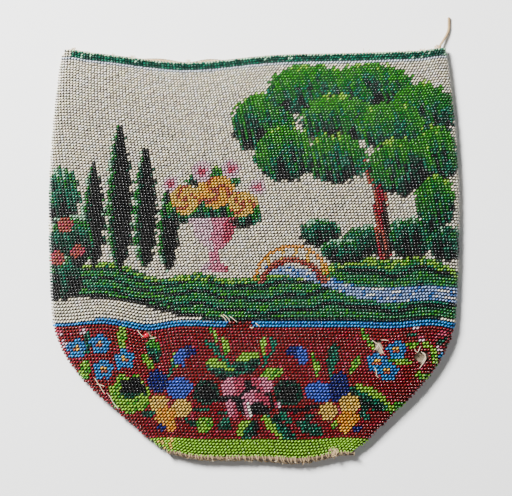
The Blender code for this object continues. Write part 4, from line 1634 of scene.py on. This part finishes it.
LEFT_STRAYS = (
    ((-45.4, 53.0, 0.35), (-44.6, 51.8, 0.65), (-43.6, 50.8, 0.50), (-42.6, 50.4, 0.30), (-41.9, 50.2, 0.0)),
    ((-41.0, 49.8, 0.0), (-40.2, 50.2, 0.45), (-39.2, 49.9, 0.60), (-38.2, 50.4, 0.30)),
    ((-42.3, 48.9, -0.2), (-41.6, 48.4, 0.2), (-40.9, 48.9, -0.1)),
    ((-62.6, 33.5, 0.3), (-61.4, 31.6, 0.65), (-60.2, 30.0, 0.4), (-59.5, 28.4, 0.65), (-58.2, 26.8, 0.3)),
    ((-61.8, 30.8, 0.3), (-60.0, 30.6, 0.65), (-58.6, 30.0, 0.3)),
    ((-57.6, 27.4, 0.3), (-56.2, 26.0, 0.65), (-55.6, 24.2, 0.4), (-54.4, 22.8, 0.65), (-53.2, 21.2, 0.3)),
    ((-12.9, 57.9, 0.2), (-12.0, 57.4, 0.7), (-11.2, 56.4, 0.75), (-10.7, 55.4, 0.5), (-10.5, 54.7, 0.2)),
    ((-12.0, 58.2, 0.2), (-10.9, 57.6, 0.7), (-10.0, 56.6, 0.75), (-9.5, 55.6, 0.5), (-9.2, 55.0, 0.2)),
    ((-9.6, 57.6, 0.3), (-8.6, 57.0, 0.8), (-7.6, 56.0, 0.7), (-6.6, 55.4, 0.3)),
    ((-1.6, 53.4, 0.3), (-0.6, 52.6, 0.7), (-0.2, 53.4, 0.3)),
)
RIGHT_STRAYS = (
    ((46.2, 48.4, 0.2), (47.6, 47.4, 0.4), (48.8, 46.6, -0.2), (49.8, 45.0, 0.5), (50.4, 43.6, 0.3)),
    ((47.0, 44.6, 0.1), (48.0, 45.6, -0.3), (48.8, 47.2, 0.1)),
    ((49.6, 48.6, 0.3), (51.0, 48.9, 0.7), (52.4, 48.4, 0.3)),
    ((62.8, 44.6, 0.3), (63.2, 43.6, 0.7), (63.9, 43.0, 0.5), (64.6, 44.2, 0.7), (65.0, 45.4, 0.3)),
    (
        (65.4, 43.4, 0.2),
        (66.6, 42.4, 0.6),
        (67.4, 41.2, 0.7),
        (66.8, 39.6, 0.6),
        (65.6, 38.2, 0.5),
        (64.8, 37.0, 0.3),
    ),
    ((66.0, 43.0, 0.1), (67.2, 42.6, 0.5), (67.0, 40.8, 0.4), (66.0, 39.4, 0.3)),
    ((47.2, 37.6, 0.3), (48.0, 36.0, 0.7), (47.6, 34.6, 0.6), (48.6, 33.6, 0.3)),
    ((0.6, 55.0, 0.3), (1.4, 54.0, 0.7), (2.4, 53.6, 0.3)),
)
for side_name, side, strays in (("left", -1, LEFT_STRAYS), ("right", 1, RIGHT_STRAYS)):
    runs = [[over_front(*point) for point in stray] for stray in strays]
    torn = sewn(f"front_torn_threads_{side_name}", runs, PALE_STRAY, pale_thread)
    open_lower(torn, side)
    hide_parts("front_flower_band")
